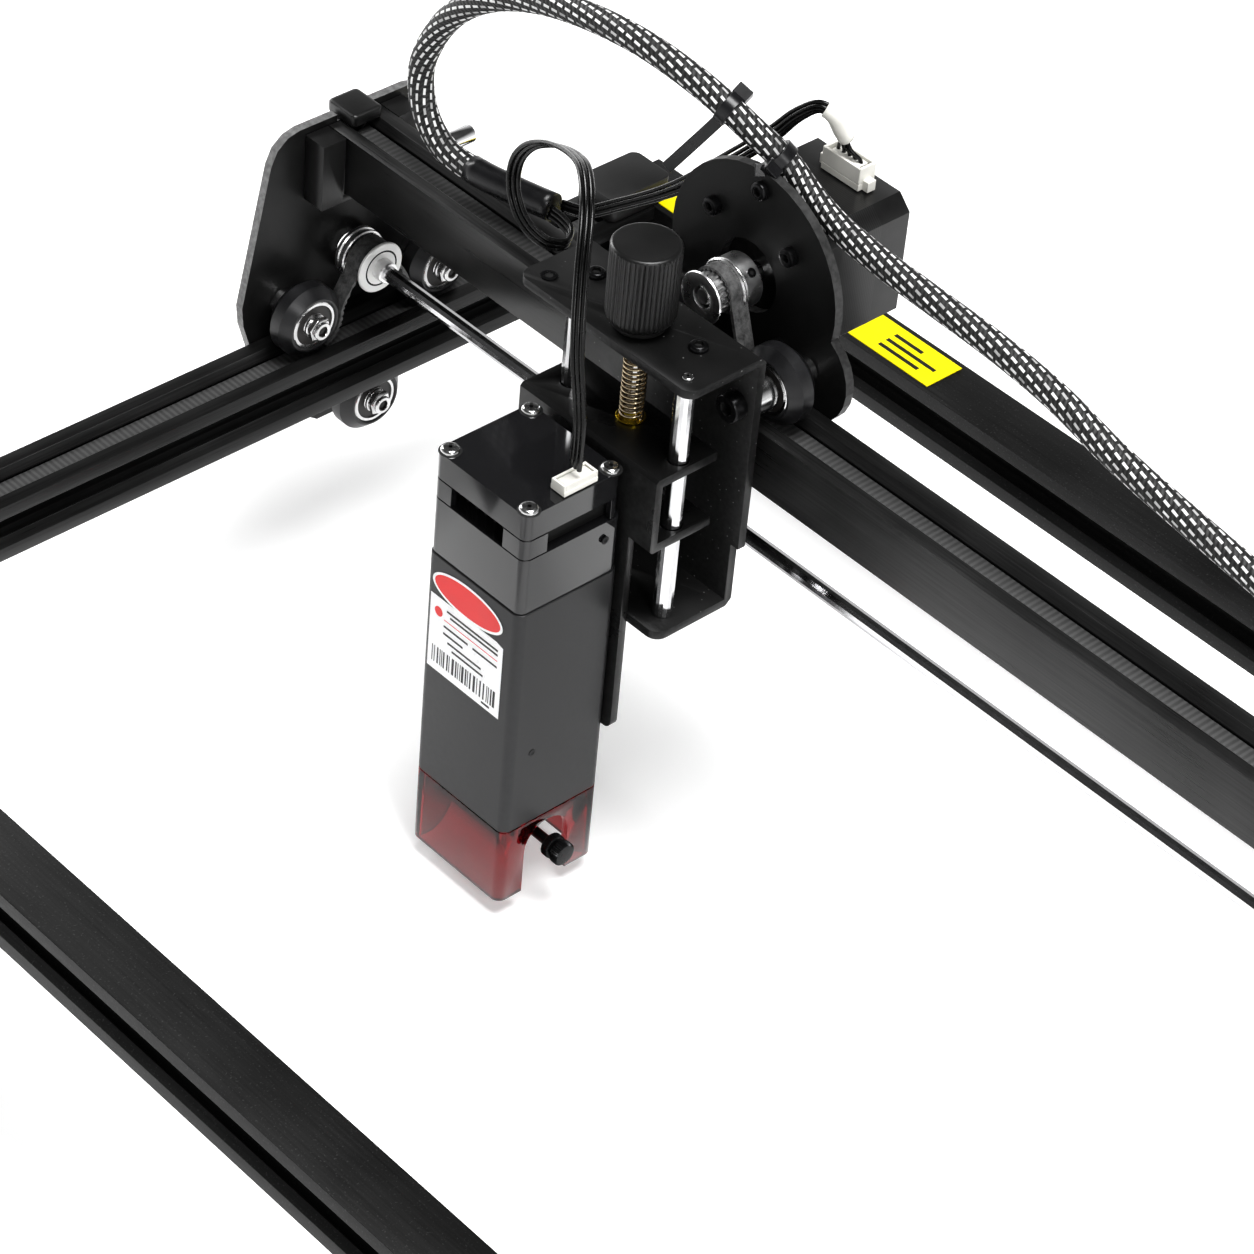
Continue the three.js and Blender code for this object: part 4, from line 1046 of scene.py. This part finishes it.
def post(build, corner_x, corner_y, towards_x, towards_y, length_x, length_y, low_z, high_z):
    """An angle-shaped post with a round outer corner, between the cooling slots."""
    wall = 2.2 * MM
    r = CORNER - 0.45 * MM
    points = [(corner_x + towards_x * length_x, corner_y)]
    for k in range(7):
        a = math.pi / 2 * k / 6
        points.append((corner_x + towards_x * (r - r * math.sin(a)),
                       corner_y + towards_y * (r - r * math.cos(a))))
    points += [(corner_x, corner_y + towards_y * length_y),
               (corner_x + towards_x * wall, corner_y + towards_y * length_y),
               (corner_x + towards_x * wall, corner_y + towards_y * wall),
               (corner_x + towards_x * length_x, corner_y + towards_y * wall)]
    build.prism(points, low_z, high_z, "z", 0)


gloss = plain("gloss_black", (0.012, 0.012, 0.013), 0.1, mottle=0.1, scale=30.0, strength=0.015,
              Coat_Weight=0.5, Coat_Roughness=0.06)
gap = 0.3 * MM
head = Build()
head.prism(head_outline(0.4 * MM), SLOT_TOP + gap / 2, cap_high[2], "z", 0)
head.prism(head_outline(1.1 * MM), SLOT_TOP - gap / 2, SLOT_TOP + gap / 2, "z", 0)
edge_x0, edge_x1 = cap_low[0] + 0.4 * MM, case_high[0] - 0.4 * MM
edge_y0, edge_y1 = cap_low[1] + 0.4 * MM, HEAD_BACK - 0.4 * MM
for corner_x, corner_y, way_x, way_y, reach_x, reach_y in (
        (edge_x0, edge_y0, 1, 1, 7.6 * MM, 8.5 * MM), (edge_x1, edge_y0, -1, 1, 9.2 * MM, 8.5 * MM),
        (edge_x1, edge_y1, -1, -1, 7 * MM, 3.2 * MM), (edge_x0, edge_y1, 1, -1, 7 * MM, 3.2 * MM)):
    post(head, corner_x, corner_y, way_x, way_y, reach_x, reach_y, SLOT_BASE + gap, SLOT_TOP - gap / 2)
head.prism(head_outline(0.4 * MM, case_high[1]), SEAM + gap, SLOT_BASE, "z", 0)
head.done("module_head", [gloss], "laser_head", "gloss_cap", bevel=0.25, sharp=28, instead=["module_cap"])

# The fins and the core behind the cooling slots are near-black and matt: painted shade inside the slots.
fins = Build()
fins.prism(head_outline(7.5 * MM), SLOT_BASE - 1 * MM, SLOT_TOP + 1 * MM, "z", 0)
for k in range(9):
    fin_x = cap_low[0] + (4.6 + 3.8 * k) * MM
    fins.box((fin_x, cap_low[1] + 6.0 * MM, SLOT_BASE - 1 * MM),
             (fin_x + 0.9 * MM, HEAD_BACK - 2.5 * MM, SLOT_TOP + 0.5 * MM), 0)
fins.done("module_fins", [plain("fins_painted_shade", (0.003, 0.003, 0.003), 0.7)], "laser_head", "module_case")

satin_case = plain("satin_case", (0.035, 0.035, 0.036), 0.42, metallic=0.5, mottle=0.08, scale=500.0,
                   strength=0.12)
case = Build()
case.prism(head_outline(0.0, case_high[1]), case_low[2], SEAM, "z", 0)
case.prism(head_outline(1.0 * MM, case_high[1] - 0.6 * MM), SEAM - 0.5 * MM, SEAM + 2 * gap, "z", 0)
case.done("module_case", [satin_case], "laser_head", "module_case", bevel=0.3, sharp=28,
          instead=["module_body"])
for k, (x, y) in enumerate(((-20, -70.4), (-20.4, -40.2), (13.0, -40.2), (13.0, -70.4))):
    screw(f"cap_screw_{k}", at(x, y, -5.15), (0, 0, 1), 2.9, 1.5, "laser_head", bright_zinc, CROSS,
          dome=1.1)
    # A thin near-black ring round each cap screw's head: painted shade in its recess.
    recess_shade_ring = Build()
    recess_shade_ring.turned([(a * MM, h * MM) for a, h in ((2.9, 0.0), (3.4, 0.02), (3.4, 0.12), (2.9, 0.14))],
                  at(x, y, -5.1), (0, 0, 1), 40, 0, closed=True)
    recess_shade_ring.done(f"cap_recess_{k}", [recess_painted_shade], "laser_head", "gloss_cap")
screw("case_set_screw", at(16.0, -64.6, -94.7), (1, 0, 0), 1.3, 0.12, "laser_head", black_oxide)
screw("case_side_screw", at(16.0, -43.0, -27), (1, 0, 0), 1.3, 0.3, "laser_head", black_oxide)

plug_low, plug_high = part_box("module_socket")
white_plug = Build()
white_plug.box((plug_low[0] - 0.2 * MM, plug_low[1], plug_low[2]), (plug_high[0] + 0.2 * MM, plug_high[1],
    plug_low[2] + 1.6 * MM), 0)
rim_wall = 0.8 * MM
inner_floor = plug_low[2] + 1.2 * MM
rim_top = plug_high[2] - 1.6 * MM
for x0, x1, y0, y1 in ((plug_low[0], plug_high[0], plug_low[1], plug_low[1] + rim_wall),
                       (plug_low[0], plug_high[0], plug_high[1] - rim_wall, plug_high[1]),
                       (plug_low[0], plug_low[0] + rim_wall, plug_low[1] + rim_wall,
                        plug_high[1] - rim_wall),
                       (plug_high[0] - rim_wall, plug_high[0], plug_low[1] + rim_wall,
                        plug_high[1] - rim_wall)):
    white_plug.box((x0, y0, inner_floor), (x1, y1, rim_top), 0)
middle_x = (plug_low[0] + plug_high[0]) / 2
white_plug.box((middle_x - 1.7 * MM, plug_low[1] + 1.2 * MM, inner_floor),
               (middle_x + 1.7 * MM, plug_high[1] - 1.2 * MM, rim_top - 0.4 * MM), 0)
white_plug.done("module_plug", [nylon], "laser_head", "white_nylon", bevel=0.2, instead=["module_socket"])

# ---- Module label ----
# A white paper label on the module's front with a red oval above it. Plain bars stand
# where the print would be.


def flat_oval(build, middle, half_x, half_z, y, material, sides=56):
    ring = [build.mesh.verts.new((middle.x + half_x * math.cos(a), y, middle.z + half_z * math.sin(a)))
            for a in (2 * math.pi * k / sides for k in range(sides))]
    build.faces([ring], material)


front_y = case_low[1]
sticker = Build()
paper = front_y - 0.12 * MM
sticker.prism([(carriage_point(x, 0, 0).x, carriage_point(0, 0, z).z) for x, z in
               ((-20.6, -81), (10.4, -81), (10.4, -55), (7.5, -54.2), (-20.6, -54.2))],
              paper, front_y + 0.02 * MM, "y", 0)
oval_middle = carriage_point(-5.2, 0, -48.6)
flat_oval(sticker, oval_middle, 15.0 * MM, 5.9 * MM, paper - 0.03 * MM, 0)
flat_oval(sticker, oval_middle, 14.0 * MM, 5.0 * MM, paper - 0.06 * MM, 1)
ink = paper - 0.04 * MM


def bar(x0, x1, z0, z1, material):
    low, high = carriage_point(x0, 0, z0), carriage_point(x1, 0, z1)
    ring = [sticker.mesh.verts.new(p) for p in
            ((low.x, ink, low.z), (high.x, ink, low.z), (high.x, ink, high.z), (low.x, ink, high.z))]
    sticker.faces([ring], material)


for x0, x1, z in ((-13.5, 8.5, -57.4), (-12.0, 8.5, -59.0), (-14.5, -4.0, -63.4), (-2.0, 8.5, -63.4),
                  (-14.5, -6.0, -66.0), (-12.5, 2.0, -68.4), (-10.5, 3.0, -70.4), (3.0, 6.5, -79.8)):
    bar(x0, x1, z, z + 0.75, 2)
bar(-14.5, 8.5, -60.9, -60.6, 1)
flat_oval(sticker, carriage_point(-16.9, 0, -59.2), 1.7 * MM, 1.7 * MM, ink, 1, 16)
bar_widths = random.Random(4)
bar_x = -18.8
while bar_x < 8.0:
    width = bar_widths.choice((0.35, 0.6, 0.95))
    bar(bar_x, bar_x + width, -78.2, -72.2, 2)
    bar_x += width + bar_widths.choice((0.4, 0.6, 0.9))
sticker.done("module_label", [plain("label_paper", (0.97, 0.97, 0.98), 0.3, mottle=0.02),
                              plain("label_red", (0.8, 0.008, 0.008), 0.35, mottle=0.05),
                              plain("label_ink", (0.02, 0.02, 0.022), 0.5)], "laser_head", "white_nylon")

# ---- Lens barrel and focus screw ----
# A turned barrel under the case holds the lens. A knurled black thumbscrew through the
# shield's cut-out locks its focus.
lens_low, lens_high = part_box("lens_barrel")
lens_middle = ((lens_low[0] + lens_high[0]) / 2, (lens_low[1] + lens_high[1]) / 2, lens_low[2])
barrel = Build()
reach = (lens_high[2] - lens_low[2]) / MM
barrel_profile = [(3.4, 3.0), (3.6, 0.2), (6.4, 0.0), (6.8, 0.5), (6.8, 4.0), (7.4, 4.4), (8.4, 4.6),
                  (8.5, 5.2), (8.5, 8.0), (8.2, 8.3), (8.5, 8.6), (8.5, 11.0), (8.2, 11.3), (8.5, 11.6),
                  (8.5, reach), (3.4, reach)]
barrel.turned([(a * MM, h * MM) for a, h in barrel_profile], lens_middle, (0, 0, 1), 72, 0)
barrel.turned([(3.4 * MM, 3 * MM), (0.0, 3.6 * MM)], lens_middle, (0, 0, 1), 72, 1)
barrel.done("lens_barrel_piece", [black_oxide, plain("lens_glass", (0.05, 0.03, 0.08), 0.03)], "laser_head",
            "bright_steel", sharp=30, instead=["lens_barrel"])
focus_low, focus_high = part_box("focus_screw")
focus_middle = (focus_low[0], (focus_low[1] + focus_high[1]) / 2, (focus_low[2] + focus_high[2]) / 2)
length = (focus_high[0] - focus_low[0]) / MM
focus = Build()
grip = length - 7.0
focus_profile = [(0.0, 0.0), (1.4, 0.0), (1.6, 0.3), (1.6, grip), (3.4, grip + 0.1), (3.7, grip + 0.4)]
focus_profile += [(3.7, grip + 0.4 + 0.7 * k) for k in range(1, 4)]
focus_profile += [(3.4, grip + 2.8), (2.7, grip + 3.0), (2.7, grip + 3.8), (3.4, grip + 4.0), (3.7,
    grip + 4.3),
                  (3.7, length - 0.6), (3.3, length - 0.1), (2.6, length), (0.0, length)]
focus.turned([(a * MM, h * MM) for a, h in focus_profile], focus_middle, (1, 0, 0), 144, 0,
             wave=lambda turn, height: 0.16 * MM * math.sin(turn * 36) if height > (grip + 0.3) * MM else 0.0)
focus.done("focus_screw_piece", [black_oxide], "focus_screw_body", "knob_plastic", sharp=30,
           instead=["focus_screw"])

# ---- Eye shield ----
# A four-sided skirt of clear dark-red acrylic, laser-cut and glued, slides over the foot
# of the case. It filters the glare, and is cut away for the focus screw.
shield_acrylic = Nodes("red_acrylic")
shield_cloud = shield_acrylic.add("TexNoise", {
    "Vector": shield_acrylic.add("TexCoord").outputs["Object"], "Scale": 60.0, "Detail": 3.0})
shield_tint = shield_acrylic.ramp(shield_cloud.outputs["Fac"], (0.3, (0.24, 0.004, 0.008)), (0.7, (0.33,
    0.008, 0.012)))
shield_rough = shield_acrylic.ramp(shield_cloud.outputs["Fac"], (0.3, grey(0.02)), (0.7, grey(0.06)))
red_acrylic = shield_acrylic.shade(Base_Color=shield_tint, Roughness=shield_rough, Transmission_Weight=1.0,
                                   IOR=1.49)
dress("eye_shield", red_acrylic, 0.3)

# ---- Cable ties and sheath ----
# Black nylon ties hold the sleeve to the motor plate's top screw and to itself. A shrunk
# black tube binds the sleeve's cut end, and a white one binds the motor's wires.


def sheath(name, line, radius, body, finish, sides=24):
    piece = strands(name, line, radius, sides)
    piece.data.materials.append(finish)
    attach(piece, body)


shrink = plain("shrink_tube", (0.01, 0.01, 0.011), 0.3, mottle=0.2, scale=200.0, strength=0.25)
sheath("sleeve_end_tube", sleeve_line[:12], SLEEVE_DIAMETER / 2 + 0.35 * MM, "carriage", shrink)
sheath("motor_wire_tube", motor_line[37:], 2.4 * MM, "carriage", nylon)
tie_nylon = plain("tie_nylon", (0.009, 0.009, 0.01), 0.28, mottle=0.15, scale=150.0)


def cable_tie(name, index, tail):
    """A tie round the sleeve at one point of its line, with its head and its cut tail."""
    point = sleeve_line[index]
    ahead = (sleeve_line[index + 1] - sleeve_line[index - 1]).normalized()
    band = Build()
    r = SLEEVE_DIAMETER / 2
    half = 1.8 * MM
    band.turned([(r - 0.3 * MM, -half), (r + 0.9 * MM, -half), (r + 0.9 * MM, half), (r - 0.3 * MM, half)],
                point, ahead, 40, 0, closed=True)
    out = (Vector(tail[0]) - ahead * Vector(tail[0]).dot(ahead)).normalized()
    across = ahead.cross(out)
    head_at = point + out * (r + 1.6 * MM)
    corners = [(-1, -1), (1, -1), (1, 1), (-1, 1)]
    lower = [band.mesh.verts.new(head_at + ahead * (a * 2.4 * MM) + across * (b * 2.6 * MM) - out * 1.8 * MM)
             for a, b in corners]
    upper = [band.mesh.verts.new(head_at + ahead * (a * 2.4 * MM) + across * (b * 2.6 * MM) + out * 1.8 * MM)
             for a, b in corners]
    band.faces([lower[::-1], upper], 0)
    band.faces([(lower[k], lower[(k + 1) % 4], upper[(k + 1) % 4], upper[k]) for k in range(4)], 0)
    tail_line = smooth_line([head_at, *[head_at + Vector(p) * MM for p in tail[1:]]])
    rows = []
    for k, q in enumerate(tail_line):
        way = (tail_line[min(k + 1, len(tail_line) - 1)] - tail_line[max(k - 1, 0)]).normalized()
        flat_way = (ahead - way * ahead.dot(way)).normalized()
        thin = way.cross(flat_way)
        rows.append([band.mesh.verts.new(q + flat_way * (a * half) + thin * (b * 0.6 * MM))
                     for a, b in corners])
    for low_row, high_row in zip(rows, rows[1:]):
        band.faces([(low_row[k], low_row[(k + 1) % 4], high_row[(k + 1) % 4],
                     high_row[k]) for k in range(4)], 0)
    band.faces([rows[0][::-1], rows[-1]], 0)
    band.done(name, [tie_nylon], "carriage", "black_plastic", bevel=0.2)


def nearest(route_point):
    """The place along the sleeve's line closest to a point of its route."""
    goal = carriage_point(*route_point)
    return min(range(len(sleeve_line)), key=lambda k: (sleeve_line[k] - goal).length)


cable_tie("cable_tie_upper", nearest((-14, 20.5, 75.8)), [(0.3, 1, 0.5), (-3, 3.5, -4), (-10, 0, -16), (-20,
    -6.5, -33)])
cable_tie("cable_tie_plate", nearest((1, 27.6, 64.5)), [(-0.2, -1, 0.1), (-2.5, -3.5, 0.2)])

# ---- Floor, world and lights ----
# The machine stands on a plain near-white table, in soft light from large panels.
floor_mesh = bpy.data.meshes.new("floor")
span = 4.0
floor_mesh.from_pydata([(-span, -span, 0), (span, -span, 0), (span, span, 0), (-span, span, 0)], [],
                       [(0, 1, 2, 3)])
table_white = plain("table_white", (0.86, 0.86, 0.86), 0.6, mottle=0.004, scale=2.0, strength=0.0,
                    Emission_Color=(1, 1, 1, 1), Emission_Strength=0.3)
floor_mesh.materials.append(table_white)
floor = add_object("floor", floor_mesh)

scene = bpy.context.scene
world = bpy.data.worlds.new("studio")
scene.world = world
world.use_nodes = True
sky = world.node_tree
direction = sky.nodes.new("ShaderNodeTexCoord")
height = sky.nodes.new("ShaderNodeSeparateXYZ")
fade = sky.nodes.new("ShaderNodeValToRGB")
sky.links.new(direction.outputs["Generated"], height.inputs["Vector"])
sky.links.new(height.outputs["Z"], fade.inputs["Fac"])
sky.links.new(fade.outputs["Color"], sky.nodes["Background"].inputs["Color"])
fade.color_ramp.elements[0].position = 0.0
fade.color_ramp.elements[0].color = grey(0.95)
fade.color_ramp.elements[1].position = 0.55
fade.color_ramp.elements[1].color = grey(0.06)
sky.nodes["Background"].inputs["Strength"].default_value = 1.0
scene.view_settings.view_transform = "Standard"
scene.view_settings.look = "Medium High Contrast"


def panel(name, place, target, size, power):
    """A soft rectangular light aimed at a point."""
    data = bpy.data.lights.new(name, "AREA")
    data.shape = "RECTANGLE"
    data.size, data.size_y = size
    data.energy = power
    lamp = bpy.data.objects.new(name, data)
    bpy.context.scene.collection.objects.link(lamp)
    aim = (Vector(target) - Vector(place)).normalized()
    lamp.matrix_world = Matrix.Translation(place) @ aim.to_track_quat("-Z", "Y").to_matrix().to_4x4()


target = carriage_point(0, 0, 0)
panel("light_key", (0.35, 0.1, 2.5), target, (1.2, 1.2), 66)
panel("light_left", (-1.9, 0.1, 0.9), target, (0.5, 1.2), 18)
panel("light_right", (1.7, -0.7, 1.3), target, (0.4, 0.8), 12)
